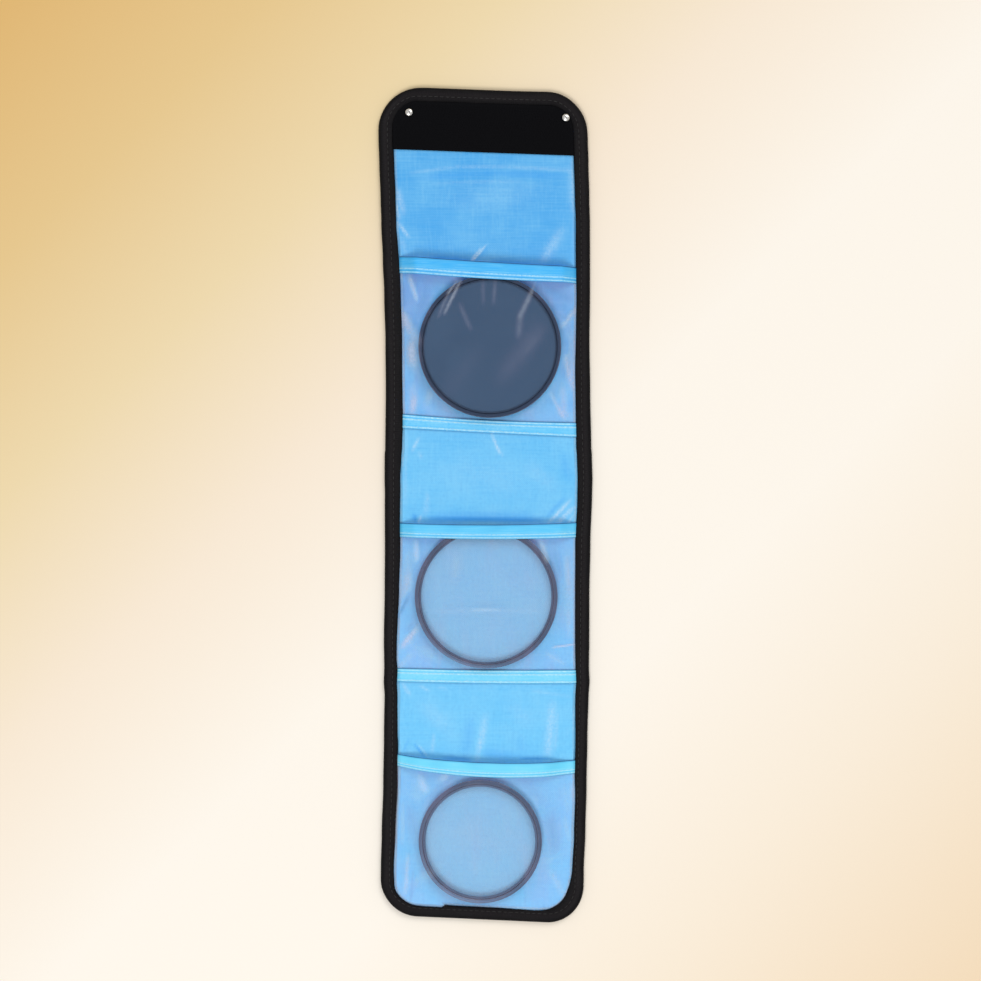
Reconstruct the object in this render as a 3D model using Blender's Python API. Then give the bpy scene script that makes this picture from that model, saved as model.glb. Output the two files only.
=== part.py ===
"""Folding case for three screw-in lens filters, shown open and flat, lining side up.

Three padded panels and a closing flap hang together on soft spines. Each spine bends along a
crease at either end, so the panels stack and the flap wraps over them. Metres, +Z up; +Y runs
from the lower panel to the flap, and z = 0 is the surface that the back of the case lies on.
"""

import math
from collections import namedtuple

import bmesh
import bpy
from mathutils import Vector

# Filters: a clear one of each size and a polariser whose front ring turns
LARGE_RIM_RADIUS = 0.0400
SMALL_RIM_RADIUS = 0.0345
RIM_OVER_THREAD = 0.0015
RIM_WIDTH = 0.0030
THREAD_HEIGHT = 0.0013
LEDGE_HEIGHT = 0.0012
GLASS_HEIGHT = 0.0014
GLASS_WALL = 0.0021
RETAINER_HEIGHT = 0.0006
RETAINER_SLOT = 0.0020
RIM_LIP = 0.0005
RIM_CHAMFER = 0.0003
WEB_HEIGHT = 0.0004
CUP_HEIGHT = 0.0016
CUP_WALL = 0.0011
SPIGOT_LEDGE = 0.0009
GRIP_DEPTH = 0.0004
GRIP_MARGIN = 0.0005
GRIP_COUNT = 60
RING_STEPS = 48
AXIS_REACH = 0.0001

# Layers of cloth and padding, measured at the edge and over the padding
FIT_GAP = 0.0003
SHELL_THICKNESS = 0.0006
FOAM_THICKNESS = 0.0013
LINING_THICKNESS = 0.0003
FILM_THICKNESS = 0.0003
TAPE_THICKNESS = 0.0004
HOOK_THICKNESS = 0.0010
LOOP_THICKNESS = 0.0007

# Edge binding: one tape folded over the edge of all the layers
BINDING_WIDTH = 0.0084
BINDING_THICKNESS = 0.0007
BINDING_HEIGHT = 0.0038
BINDING_STEPS = 6
CORNER_RADIUS = 0.0210
CORNER_STEPS = 8
RIM_INSET = 0.0022
PAD_SLOPE = 0.0030
EDGE_MARGIN = 0.0006

# Room beside and beyond the filters in their pockets
POCKET_SIDE = 0.0096
MOUTH_MARGIN = 0.0253
FOLD_ROOM = 0.0006
FOLD_END_ROOM = 0.0015
CREASE_GAP = 0.0002
FLAP_LENGTH = 0.0420
FILM_SIDE_ROOM = 0.0009
FILM_FOOT_ROOM = 0.0003
FILM_WALL_RUN = 0.0003
FILM_EDGE_SLOPE = 0.0025
FILM_FOOT_SHARE = 0.3
FILM_HEM = 0.0006
TAPE_END_GAP = 0.0004
POCKET_STEPS = 36

# Foot tapes and mouth tapes, and where each filter sits across its pocket
FOOT_TAPE_WIDTH = 0.0073
UPPER_FOOT_OFFSET = 0.0025
MIDDLE_FOOT_OFFSET = 0.0047
LOWER_FOOT_OFFSET = 0.0022
UPPER_MOUTH_OFFSET = -0.0015
MIDDLE_MOUTH_OFFSET = -0.0074
LOWER_MOUTH_OFFSET = 0.0018
UPPER_MOUTH_WIDTH = 0.0092
MIDDLE_MOUTH_WIDTH = 0.0078
LOWER_MOUTH_WIDTH = 0.0078
POLARISER_ASIDE = 0.0020
LARGE_FILTER_ASIDE = 0.0
SMALL_FILTER_ASIDE = -0.0033

# Fastening: hook strip inside the flap, loop patch on the middle panel's back, two rivets
HOOK_OFFSET = 0.0066
HOOK_MARGIN = 0.0003
LOOP_LENGTH = 0.0300
LOOP_MARGIN = 0.0040
LOOP_CORNER = 0.0030
RIVET_HEAD_RADIUS = 0.0021
RIVET_HEAD_HEIGHT = 0.0007
RIVET_BRIM = 0.0002
RIVET_SHANK_RADIUS = 0.0010
RIVET_CAP_RADIUS = 0.0022
RIVET_CAP_HEIGHT = 0.0006
RIVET_STEPS = 16
RIVET_DOME_STEPS = 4
RIVET_FROM_TOP = 0.0135
RIGHT_RIVET_DROP = 0.0030
LEFT_RIVET_INSET = 0.0150
RIGHT_RIVET_INSET = 0.0125
CUT_OVERRUN = 0.0020

# Heights of the layers, worked out from their thicknesses
SHELL_Z = BINDING_THICKNESS + FIT_GAP + SHELL_THICKNESS / 2
LINING_EDGE_Z = SHELL_Z + SHELL_THICKNESS / 2 + FIT_GAP + LINING_THICKNESS / 2
FOAM_Z = LINING_EDGE_Z - LINING_THICKNESS / 2 + FOAM_THICKNESS / 2
LINING_Z = FOAM_Z + FOAM_THICKNESS / 2 + FIT_GAP + LINING_THICKNESS / 2
LINING_TOP = LINING_Z + LINING_THICKNESS / 2
FILM_EDGE_Z = LINING_EDGE_Z + LINING_THICKNESS / 2 + FIT_GAP + FILM_THICKNESS / 2
FILM_BASE_Z = LINING_TOP + FIT_GAP + FILM_THICKNESS / 2
FILTER_Z = LINING_TOP + FIT_GAP
FOLD_Z = BINDING_HEIGHT + CREASE_GAP

# Heights of the filters and of the film over them
CLEAR_HEIGHT = LEDGE_HEIGHT + FIT_GAP + GLASS_HEIGHT + FIT_GAP + RETAINER_HEIGHT + RIM_LIP
MOUNT_RING_HEIGHT = THREAD_HEIGHT + WEB_HEIGHT + CUP_HEIGHT
SPIGOT_Z = THREAD_HEIGHT + WEB_HEIGHT + FIT_GAP
POLARISER_HEIGHT = (SPIGOT_Z + SPIGOT_LEDGE + FIT_GAP + GLASS_HEIGHT
                    + FIT_GAP + RETAINER_HEIGHT + RIM_LIP)
OVER_FILTER = FIT_GAP + FILM_THICKNESS + FIT_GAP + TAPE_THICKNESS
CLEAR_POCKET_HEIGHT = FILTER_Z + CLEAR_HEIGHT + OVER_FILTER - FOLD_Z
POLARISER_POCKET_HEIGHT = FILTER_Z + POLARISER_HEIGHT + OVER_FILTER - FOLD_Z
RIVET_TOP = LINING_TOP + FIT_GAP + HOOK_THICKNESS + FIT_GAP + RIVET_BRIM + RIVET_HEAD_HEIGHT

# Widths and lengths that follow from what each part holds or folds round
HALF_WIDTH = LARGE_RIM_RADIUS + POCKET_SIDE + BINDING_WIDTH
FOOT_ROOM = FIT_GAP + FILM_THICKNESS + FILM_WALL_RUN + FILM_FOOT_ROOM
MIDDLE_LENGTH = (MIDDLE_FOOT_OFFSET + FOOT_TAPE_WIDTH + FOOT_ROOM
                 + 2 * LARGE_RIM_RADIUS + MOUTH_MARGIN)
LOWER_LENGTH = MIDDLE_LENGTH - FOLD_END_ROOM
UPPER_LENGTH = MIDDLE_LENGTH + FOLD_Z + FOLD_END_ROOM
LOWER_SPINE_LENGTH = 2 * CLEAR_POCKET_HEIGHT + FOLD_ROOM
UPPER_SPINE_LENGTH = POLARISER_POCKET_HEIGHT + FOLD_ROOM + FOLD_Z + LOWER_SPINE_LENGTH
FLAP_SPINE_LENGTH = UPPER_SPINE_LENGTH + RIVET_TOP + FOLD_ROOM
HALF_LENGTH = (LOWER_LENGTH + LOWER_SPINE_LENGTH + MIDDLE_LENGTH + UPPER_SPINE_LENGTH
               + UPPER_LENGTH + FLAP_SPINE_LENGTH + FLAP_LENGTH) / 2

# Crease lines along +Y, named for the panel that each one ends
LOWER_END = -HALF_LENGTH + LOWER_LENGTH
MIDDLE_START = LOWER_END + LOWER_SPINE_LENGTH
MIDDLE_END = MIDDLE_START + MIDDLE_LENGTH
UPPER_START = MIDDLE_END + UPPER_SPINE_LENGTH
UPPER_END = UPPER_START + UPPER_LENGTH
FLAP_START = UPPER_END + FLAP_SPINE_LENGTH

Section = namedtuple("Section", "name start end")
Pocket = namedtuple("Pocket", "name body aside foot radius height mouth mouth_width has_foot_tape")
Finish = namedtuple("Finish", "colour roughness metallic alpha")

SECTIONS = (
    Section("lower_panel", -HALF_LENGTH, LOWER_END),
    Section("lower_spine", LOWER_END, MIDDLE_START),
    Section("middle_panel", MIDDLE_START, MIDDLE_END),
    Section("upper_spine", MIDDLE_END, UPPER_START),
    Section("upper_panel", UPPER_START, UPPER_END),
    Section("flap_spine", UPPER_END, FLAP_START),
    Section("flap", FLAP_START, HALF_LENGTH),
)

# The lowest point of each filter's rim is its pocket's foot
UPPER_FOOT = UPPER_START + UPPER_FOOT_OFFSET + FOOT_TAPE_WIDTH + FOOT_ROOM
MIDDLE_FOOT = MIDDLE_START + MIDDLE_FOOT_OFFSET + FOOT_TAPE_WIDTH + FOOT_ROOM
LOWER_FOOT = -HALF_LENGTH + BINDING_WIDTH + LOWER_FOOT_OFFSET

POCKETS = (
    Pocket("upper", "upper_panel", POLARISER_ASIDE, UPPER_FOOT, LARGE_RIM_RADIUS,
           POLARISER_HEIGHT, UPPER_MOUTH_OFFSET, UPPER_MOUTH_WIDTH, True),
    Pocket("middle", "middle_panel", LARGE_FILTER_ASIDE, MIDDLE_FOOT, LARGE_RIM_RADIUS,
           CLEAR_HEIGHT, MIDDLE_MOUTH_OFFSET, MIDDLE_MOUTH_WIDTH, True),
    Pocket("lower", "lower_panel", SMALL_FILTER_ASIDE, LOWER_FOOT, SMALL_RIM_RADIUS,
           CLEAR_HEIGHT, LOWER_MOUTH_OFFSET, LOWER_MOUTH_WIDTH, False),
)

FINISHES = {
    "pack_cloth": Finish((0.012, 0.012, 0.014), 0.75, 0.0, 1.0),
    "padding": Finish((0.10, 0.10, 0.11), 0.95, 0.0, 1.0),
    "lining_cloth": Finish((0.105, 0.456, 0.88), 0.42, 0.0, 1.0),
    "binding_tape": Finish((0.009, 0.008, 0.007), 0.60, 0.0, 1.0),
    "hook_tape": Finish((0.006, 0.006, 0.008), 0.85, 0.0, 1.0),
    "loop_tape": Finish((0.008, 0.008, 0.010), 0.95, 0.0, 1.0),
    "pocket_film": Finish((0.62, 0.74, 0.95), 0.25, 0.0, 0.35),
    "pocket_tape": Finish((0.12, 0.52, 0.95), 0.38, 0.0, 1.0),
    "rivet_metal": Finish((0.80, 0.80, 0.82), 0.22, 1.0, 1.0),
    "ring_metal": Finish((0.015, 0.014, 0.016), 0.35, 1.0, 1.0),
    "clear_glass": Finish((0.92, 0.95, 0.98), 0.03, 0.0, 0.20),
    "dark_glass": Finish((0.045, 0.065, 0.10), 0.05, 0.0, 0.85),
}


def clear_scene():
    for obj in list(bpy.data.objects):
        bpy.data.objects.remove(obj)


def make_materials():
    for name, finish in FINISHES.items():
        material = bpy.data.materials.new(name)
        material.use_nodes = True
        shader = material.node_tree.nodes["Principled BSDF"]
        shader.inputs["Base Color"].default_value = (*finish.colour, 1.0)
        shader.inputs["Roughness"].default_value = finish.roughness
        shader.inputs["Metallic"].default_value = finish.metallic
        shader.inputs["Alpha"].default_value = finish.alpha
        material.diffuse_color = (*finish.colour, finish.alpha)


def make_pivot(name, place, parent=None):
    """An empty on a body's joint axis. What rides on the body is parented to it."""
    pivot = bpy.data.objects.new(name + "_pivot", None)
    bpy.context.collection.objects.link(pivot)
    pivot["place"] = place
    if parent:
        pivot.parent = parent
        pivot.location = Vector(place) - Vector(parent["place"])
    else:
        pivot.location = place
    return pivot


def make_part(name, bm, pivot, finish):
    """Turns a mesh drawn in the case's frame into an object whose origin is its body's pivot."""
    bmesh.ops.recalc_face_normals(bm, faces=bm.faces[:])
    bmesh.ops.translate(bm, verts=bm.verts[:], vec=-Vector(pivot["place"]))
    mesh = bpy.data.meshes.new(name)
    bm.to_mesh(mesh)
    bm.free()
    mesh.materials.append(bpy.data.materials[finish])
    part = bpy.data.objects.new(name, mesh)
    bpy.context.collection.objects.link(part)
    part.parent = pivot
    return part


def thicken(part, thickness):
    """Gives a sheet its cloth thickness, half to each side."""
    solidify = part.modifiers.new("cloth_thickness", "SOLIDIFY")
    solidify.thickness = thickness
    solidify.offset = 0
    solidify.use_even_offset = True


def cut_hole(part, cutter):
    hole = part.modifiers.new("hole", "BOOLEAN")
    hole.operation = "DIFFERENCE"
    hole.solver = "EXACT"
    hole.object = cutter


def row_of(bm, points, z):
    return [bm.verts.new((x, y, z)) for x, y in points]


def join_rows(bm, first, second, closed=False):
    """Faces between two rows of as many points."""
    count = len(first)
    for i in range(count if closed else count - 1):
        j = (i + 1) % count
        bm.faces.new((first[i], first[j], second[j], second[i]))


def case_outline(inset):
    """The open case's outline, this far in from its edge."""
    reach_x = HALF_WIDTH - CORNER_RADIUS
    reach_y = HALF_LENGTH - CORNER_RADIUS
    radius = CORNER_RADIUS - inset
    corners = ((reach_x, reach_y), (-reach_x, reach_y), (-reach_x, -reach_y), (reach_x, -reach_y))
    points = []
    for quarter, (x, y) in enumerate(corners):
        for step in range(CORNER_STEPS + 1):
            angle = math.radians(90) * (quarter + step / CORNER_STEPS)
            points.append((x + radius * math.cos(angle), y + radius * math.sin(angle)))
    return points


def trim_between(bm, start, end):
    """Keeps what lies between two crease planes, open where it is cut."""
    for y, outward in ((start, -1), (end, 1)):
        if abs(y) < HALF_LENGTH:
            plane = Vector((0, y - outward * CREASE_GAP, 0))
            geometry = bm.verts[:] + bm.edges[:] + bm.faces[:]
            bmesh.ops.bisect_plane(bm, geom=geometry, plane_co=plane,
                                   plane_no=(0, outward, 0), clear_outer=True)


def case_sheet(levels, start, end):
    """A sheet as wide as the case. Levels give its height at each distance in from the edge."""
    bm = bmesh.new()
    rows = [row_of(bm, case_outline(inset), z) for inset, z in levels]
    for outer, inner in zip(rows, rows[1:]):
        join_rows(bm, outer, inner, closed=True)
    bm.faces.new(rows[-1])
    trim_between(bm, start, end)
    return bm


def make_layers(section, pivot):
    """Shell, padding and lining of one section. The lining dips to the shell under the binding."""
    padding_inset = BINDING_WIDTH + EDGE_MARGIN + PAD_SLOPE
    layers = (
        ("shell", ((RIM_INSET, SHELL_Z),), SHELL_THICKNESS, "pack_cloth"),
        ("foam", ((padding_inset + FIT_GAP, FOAM_Z),), FOAM_THICKNESS, "padding"),
        ("lining", ((RIM_INSET, LINING_EDGE_Z), (BINDING_WIDTH + EDGE_MARGIN, LINING_EDGE_Z),
                    (padding_inset, LINING_Z)), LINING_THICKNESS, "lining_cloth"),
    )
    made = {}
    for layer, levels, thickness, finish in layers:
        bm = case_sheet(levels, section.start, section.end)
        part = make_part(f"{section.name}_{layer}", bm, pivot, finish)
        thicken(part, thickness)
        made[layer] = part
    return made


def binding_levels():
    """The folded tape's middle line, from its lower free edge round to its upper one."""
    fold_radius = (BINDING_HEIGHT - BINDING_THICKNESS) / 2
    middle = BINDING_HEIGHT / 2
    levels = [(BINDING_WIDTH, middle - fold_radius)]
    for step in range(BINDING_STEPS + 1):
        angle = math.radians(180) * step / BINDING_STEPS
        levels.append((middle - fold_radius * math.sin(angle),
                       middle - fold_radius * math.cos(angle)))
    levels.append((BINDING_WIDTH, middle + fold_radius))
    return levels


def make_binding(section, pivot):
    """The binding of one section: a strip down each side, or one that goes round a rounded end."""
    at_end = abs(section.start) >= HALF_LENGTH or abs(section.end) >= HALF_LENGTH
    sides = (("", 0),) if at_end else (("_left", -1), ("_right", 1))
    for suffix, side in sides:
        bm = bmesh.new()
        rows = [row_of(bm, case_outline(inset), z) for inset, z in binding_levels()]
        for outer, inner in zip(rows, rows[1:]):
            join_rows(bm, outer, inner, closed=True)
        trim_between(bm, section.start, section.end)
        if side:
            geometry = bm.verts[:] + bm.edges[:] + bm.faces[:]
            bmesh.ops.bisect_plane(bm, geom=geometry, plane_co=(0, 0, 0),
                                   plane_no=(-side, 0, 0), clear_outer=True)
        part = make_part(f"{section.name}_binding{suffix}", bm, pivot, "binding_tape")
        thicken(part, BINDING_THICKNESS)


def revolve(bm, profile, steps, place):
    """Turns a closed (radius, z) outline round the vertical axis through place."""
    x, y, z = place
    points = [bm.verts.new((x + r, y, z + h)) for r, h in profile]
    edges = [bm.edges.new((a, b)) for a, b in zip(points, points[1:] + points[:1])]
    bmesh.ops.spin(bm, geom=points + edges, cent=place, axis=(0, 0, 1),
                   angle=math.radians(360), steps=steps, use_merge=True)


def revolve_solid(bm, profile, steps, place):
    """Turns an open (radius, z) outline whose ends lie on the axis."""
    x, y, z = place
    points = [bm.verts.new((x + r, y, z + h)) for r, h in profile]
    edges = [bm.edges.new((a, b)) for a, b in zip(points, points[1:])]
    bmesh.ops.spin(bm, geom=points + edges, cent=place, axis=(0, 0, 1),
                   angle=math.radians(360), steps=steps, use_merge=True)
    for end in (profile[0], profile[-1]):
        tip = Vector((x, y, z + end[1]))
        close = [v for v in bm.verts if (v.co - tip).length < AXIS_REACH]
        bmesh.ops.pointmerge(bm, verts=close, merge_co=tip)


def smooth_round(part):
    part.data.shade_smooth()
    part.data.set_sharp_from_angle(angle=math.radians(30))


def glass_radius(rim_radius):
    return rim_radius - GLASS_WALL - FIT_GAP


def glass_profile(rim_radius, z):
    """A disc with its edge chamfered both sides."""
    edge = glass_radius(rim_radius)
    top = z + GLASS_HEIGHT
    return ((0, z), (edge - RIM_CHAMFER, z), (edge, z + RIM_CHAMFER),
            (edge, top - RIM_CHAMFER), (edge - RIM_CHAMFER, top), (0, top))


def retainer_profile(rim_radius, z):
    inner = rim_radius - RIM_WIDTH
    outer = glass_radius(rim_radius)
    return ((inner, z), (outer, z), (outer, z + RETAINER_HEIGHT), (inner, z + RETAINER_HEIGHT))


def clear_ring_profile(rim_radius):
    """Thread below, rim above, and inside a ledge that the glass sits on."""
    bore = rim_radius - RIM_WIDTH
    thread = rim_radius - RIM_OVER_THREAD
    seat = rim_radius - GLASS_WALL
    return ((bore, 0), (thread, 0), (thread, THREAD_HEIGHT), (rim_radius, THREAD_HEIGHT),
            (rim_radius, CLEAR_HEIGHT - RIM_CHAMFER), (rim_radius - RIM_CHAMFER, CLEAR_HEIGHT),
            (seat, CLEAR_HEIGHT), (seat, LEDGE_HEIGHT), (bore, LEDGE_HEIGHT))


def mount_ring_profile(rim_radius):
    """Thread, web and cup: the turning ring's spigot runs in the cup."""
    bore = rim_radius - RIM_WIDTH
    thread = rim_radius - RIM_OVER_THREAD
    cup = rim_radius - CUP_WALL
    floor = THREAD_HEIGHT + WEB_HEIGHT
    return ((bore, 0), (thread, 0), (thread, THREAD_HEIGHT), (rim_radius, THREAD_HEIGHT),
            (rim_radius, MOUNT_RING_HEIGHT), (cup, MOUNT_RING_HEIGHT), (cup, floor),
            (bore, floor))


def turning_ring_profile(rim_radius):
    """Spigot below, grip rim above, and inside a ledge that the glass sits on."""
    bore = rim_radius - RIM_WIDTH
    spigot = rim_radius - CUP_WALL - FIT_GAP
    seat = rim_radius - GLASS_WALL
    ledge = SPIGOT_Z + SPIGOT_LEDGE
    underside = MOUNT_RING_HEIGHT + FIT_GAP
    return ((bore, SPIGOT_Z), (spigot, SPIGOT_Z), (spigot, underside), (rim_radius, underside),
            (rim_radius, underside + GRIP_MARGIN),
            (rim_radius, POLARISER_HEIGHT - GRIP_MARGIN),
            (rim_radius - RIM_CHAMFER, POLARISER_HEIGHT), (seat, POLARISER_HEIGHT),
            (seat, ledge), (bore, ledge))


def make_glass(name, rim_radius, z, place, pivot, finish):
    bm = bmesh.new()
    revolve_solid(bm, glass_profile(rim_radius, z), RING_STEPS, place)
    smooth_round(make_part(name, bm, pivot, finish))


def make_retainer(name, rim_radius, z, place, pivot):
    """The thin ring that holds the glass down, with two slots for the tool that turns it."""
    bm = bmesh.new()
    revolve(bm, retainer_profile(rim_radius, z), RING_STEPS, place)
    retainer = make_part(name, bm, pivot, "ring_metal")
    reach = glass_radius(rim_radius) + CUT_OVERRUN
    slot_height = RETAINER_HEIGHT / 2
    bm = bmesh.new()
    bmesh.ops.create_cube(bm, size=1)
    bmesh.ops.scale(bm, vec=(2 * reach, RETAINER_SLOT, RETAINER_HEIGHT), verts=bm.verts[:])
    middle = Vector(place) + Vector((0, 0, z + slot_height + RETAINER_HEIGHT / 2))
    bmesh.ops.translate(bm, verts=bm.verts[:], vec=middle)
    cutter = make_part(name + "_slot_cutter", bm, pivot, "ring_metal")
    cutter.hide_render = True
    cutter.display_type = "WIRE"
    cut_hole(retainer, cutter)
    smooth_round(retainer)


def make_clear_filter(name, pocket, pivot):
    place = filter_place(pocket)
    bm = bmesh.new()
    revolve(bm, clear_ring_profile(pocket.radius), RING_STEPS, place)
    smooth_round(make_part(name + "_ring", bm, pivot, "ring_metal"))
    glass_z = LEDGE_HEIGHT + FIT_GAP
    make_glass(name + "_glass", pocket.radius, glass_z, place, pivot, "clear_glass")
    retainer_z = glass_z + GLASS_HEIGHT + FIT_GAP
    make_retainer(name + "_retaining_ring", pocket.radius, retainer_z, place, pivot)


def make_polariser(pocket, mount_pivot, turning_pivot):
    place = filter_place(pocket)
    bm = bmesh.new()
    revolve(bm, mount_ring_profile(pocket.radius), RING_STEPS, place)
    smooth_round(make_part("polariser_mount_ring", bm, mount_pivot, "ring_metal"))

    bm = bmesh.new()
    revolve(bm, turning_ring_profile(pocket.radius), 2 * GRIP_COUNT, place)
    cut_grip(bm, pocket.radius, place)
    smooth_round(make_part("polariser_turning_ring", bm, turning_pivot, "ring_metal"))

    glass_z = SPIGOT_Z + SPIGOT_LEDGE + FIT_GAP
    make_glass("polariser_glass", pocket.radius, glass_z, place, turning_pivot, "dark_glass")
    retainer_z = glass_z + GLASS_HEIGHT + FIT_GAP
    make_retainer("polariser_retaining_ring", pocket.radius, retainer_z, place, turning_pivot)


def cut_grip(bm, rim_radius, place):
    """Draws every other row of the rim in, which leaves upright ribs to grip."""
    for vert in bm.verts:
        across = Vector((vert.co.x - place[0], vert.co.y - place[1], 0))
        step = round(math.atan2(across.y, across.x) / math.radians(360) * 2 * GRIP_COUNT)
        at_rim = across.length > rim_radius - RIM_CHAMFER / 2
        above_seam = vert.co.z > place[2] + MOUNT_RING_HEIGHT + FIT_GAP + GRIP_MARGIN / 2
        if step % 2 and at_rim and above_seam:
            vert.co -= across.normalized() * GRIP_DEPTH


def filter_place(pocket):
    """The middle of the filter's lower face."""
    return (pocket.aside, pocket.foot + pocket.radius, FILTER_Z)


def crown_z(pocket):
    return FILTER_Z + pocket.height + FIT_GAP + FILM_THICKNESS / 2


def mouth_span(pocket):
    """Where the mouth tape lies, along the panel."""
    start = pocket.foot + 2 * pocket.radius + pocket.mouth
    return start, start + pocket.mouth_width


def pocket_angles():
    """Angles round the lower half of a filter, from its left side down and up to its right."""
    return [math.radians(180) * (1 + step / POCKET_STEPS) for step in range(POCKET_STEPS + 1)]


def tunnel(middle, across, down, top, left_shift=0.0):
    """A U open at the top: straight sides, and an arc round the lower half of the filter."""
    x, y = middle
    arc = [(x + left_shift + across * math.cos(a), y + down * math.sin(a))
           for a in pocket_angles()]
    return [(arc[0][0], top)] + arc + [(arc[-1][0], top)]


def outline_towards(middle, angle, inset):
    """Where a ray down from the middle meets the case's lower outline, this far in."""
    x, y = middle
    cos, sin = math.cos(angle), math.sin(angle)
    side = math.copysign(HALF_WIDTH - inset, cos)
    bottom = -HALF_LENGTH + inset
    to_side = (side - x) / cos
    to_bottom = (bottom - y) / sin if sin < 0 else math.inf
    reach = min(to_side, to_bottom)
    hit = Vector((x + reach * cos, y + reach * sin))
    centre = Vector((math.copysign(HALF_WIDTH - CORNER_RADIUS, cos),
                     -HALF_LENGTH + CORNER_RADIUS))
    beyond_x = (hit.x - centre.x) * math.copysign(1, cos) > 0
    if beyond_x and hit.y < centre.y:
        radius = CORNER_RADIUS - inset
        offset = Vector((x, y)) - centre
        along = offset.x * cos + offset.y * sin
        reach = -along + math.sqrt(along * along - offset.length_squared + radius * radius)
        hit = Vector((x + reach * cos, y + reach * sin))
    return hit.x, hit.y


def edge_insets():
    """How far in the film's three edge rows lie: rim, lip and the start of its slope."""
    lip = BINDING_WIDTH + EDGE_MARGIN
    return RIM_INSET, lip, lip + FILM_EDGE_SLOPE


def make_film(pocket, pivot):
    """The clear window: flat where it is sewn down, and raised as a tunnel over the filter."""
    rim, lip, slope = edge_insets()
    x, y, _ = filter_place(pocket)
    top = mouth_span(pocket)[1] - FILM_HEM
    room = pocket.radius + FILM_SIDE_ROOM
    wall = pocket.radius + FIT_GAP + FILM_THICKNESS / 2
    bm = bmesh.new()
    crown = row_of(bm, tunnel((x, y), room, wall, top), crown_z(pocket))
    if pocket.has_foot_tape:
        base = row_of(bm, tunnel((0, y), HALF_WIDTH - slope, wall + FILM_WALL_RUN, top),
                      FILM_BASE_Z)
        foot = pocket.foot - FOOT_ROOM - FOOT_TAPE_WIDTH + FILM_HEM
        left, right = row_of(bm, ((slope - HALF_WIDTH, foot), (HALF_WIDTH - slope, foot)),
                             FILM_BASE_Z)
        bm.faces.new([left] + base[1:-1] + [right])
        for side, inner in ((-1, (base[0], base[1], left)), (1, (base[-1], base[-2], right))):
            ys = [vert.co.y for vert in inner]
            rows = [list(inner)]
            for inset in (lip, rim):
                rows.append(row_of(bm, [(side * (HALF_WIDTH - inset), v) for v in ys],
                                   FILM_EDGE_Z))
            for first, second in zip(rows, rows[1:]):
                join_rows(bm, first, second)
    else:
        rows = []
        for inset in (lip, rim):
            arc = [outline_towards((x, y), a, inset) for a in pocket_angles()]
            rows.append([(arc[0][0], top)] + arc + [(arc[-1][0], top)])
        base_points = []
        for a, b in zip(rows[0], tunnel((x, y), room, wall, top)):
            share = min(FILM_EDGE_SLOPE / math.dist(a, b), FILM_FOOT_SHARE)
            base_points.append((a[0] + (b[0] - a[0]) * share, a[1] + (b[1] - a[1]) * share))
        base = row_of(bm, base_points, FILM_BASE_Z)
        edge_rows = [base] + [row_of(bm, points, FILM_EDGE_Z) for points in rows]
        for first, second in zip(edge_rows, edge_rows[1:]):
            join_rows(bm, first, second)
    join_rows(bm, crown, base)
    bm.faces.new(crown)
    film = make_part(f"{pocket.name}_pocket_film", bm, pivot, "pocket_film")
    thicken(film, FILM_THICKNESS)


def across_profile(pocket, over_filter):
    """(x, z) across the panel, along the middle of the film."""
    _, lip, slope = edge_insets()
    end = HALF_WIDTH - BINDING_WIDTH - TAPE_END_GAP
    end_share = (HALF_WIDTH - lip - end) / (slope - lip)
    end_z = FILM_EDGE_Z + (FILM_BASE_Z - FILM_EDGE_Z) * max(end_share, 0)
    left = [(-end, end_z), (slope - HALF_WIDTH, FILM_BASE_Z)]
    right = [(HALF_WIDTH - slope, FILM_BASE_Z), (end, end_z)]
    room = pocket.radius + FILM_SIDE_ROOM
    crown = [(pocket.aside - room, crown_z(pocket)), (pocket.aside + room, crown_z(pocket))]
    return [Vector(point) for point in left + (crown if over_filter else []) + right]


def raise_profile(points, distance):
    """The same line higher, by a distance measured square to each of its stretches."""
    normals = []
    for start, end in zip(points, points[1:]):
        along = (end - start).normalized()
        normals.append(Vector((-along.y, along.x)))
    upward = Vector((0, 1))
    bisectors = [(a + b).normalized() for a, b in zip(normals, normals[1:])]
    directions = [upward] + bisectors + [upward]
    return [point + direction * (distance / direction.dot(normal))
            for point, direction, normal in zip(points, directions, normals + normals[-1:])]


def make_tape(name, pocket, span, over_filter, pivot):
    """A woven tape sewn across the panel, along the top of the film."""
    lift = (FILM_THICKNESS + TAPE_THICKNESS) / 2 + FIT_GAP
    bm = bmesh.new()
    rows = []
    profile = raise_profile(across_profile(pocket, over_filter), lift)
    for y in span:
        rows.append([bm.verts.new((x, y, z)) for x, z in profile])
    join_rows(bm, rows[0], rows[1])
    tape = make_part(name, bm, pivot, "pocket_tape")
    thicken(tape, TAPE_THICKNESS)


def make_pocket(pocket, pivot):
    make_film(pocket, pivot)
    make_tape(f"{pocket.name}_mouth_tape", pocket, mouth_span(pocket), True, pivot)
    if pocket.has_foot_tape:
        end = pocket.foot - FOOT_ROOM
        make_tape(f"{pocket.name}_foot_tape", pocket, (end - FOOT_TAPE_WIDTH, end), False, pivot)


def make_hook_strip(pivot):
    """The strip inside the flap, whose far corners follow the binding's."""
    start = FLAP_START + HOOK_OFFSET
    bm = bmesh.new()
    z = LINING_TOP + FIT_GAP + HOOK_THICKNESS / 2
    bm.faces.new(row_of(bm, case_outline(BINDING_WIDTH + HOOK_MARGIN), z))
    bmesh.ops.bisect_plane(bm, geom=bm.verts[:] + bm.edges[:] + bm.faces[:],
                           plane_co=(0, start, 0), plane_no=(0, -1, 0), clear_outer=True)
    strip = make_part("hook_strip", bm, pivot, "hook_tape")
    thicken(strip, HOOK_THICKNESS)
    return strip


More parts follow.
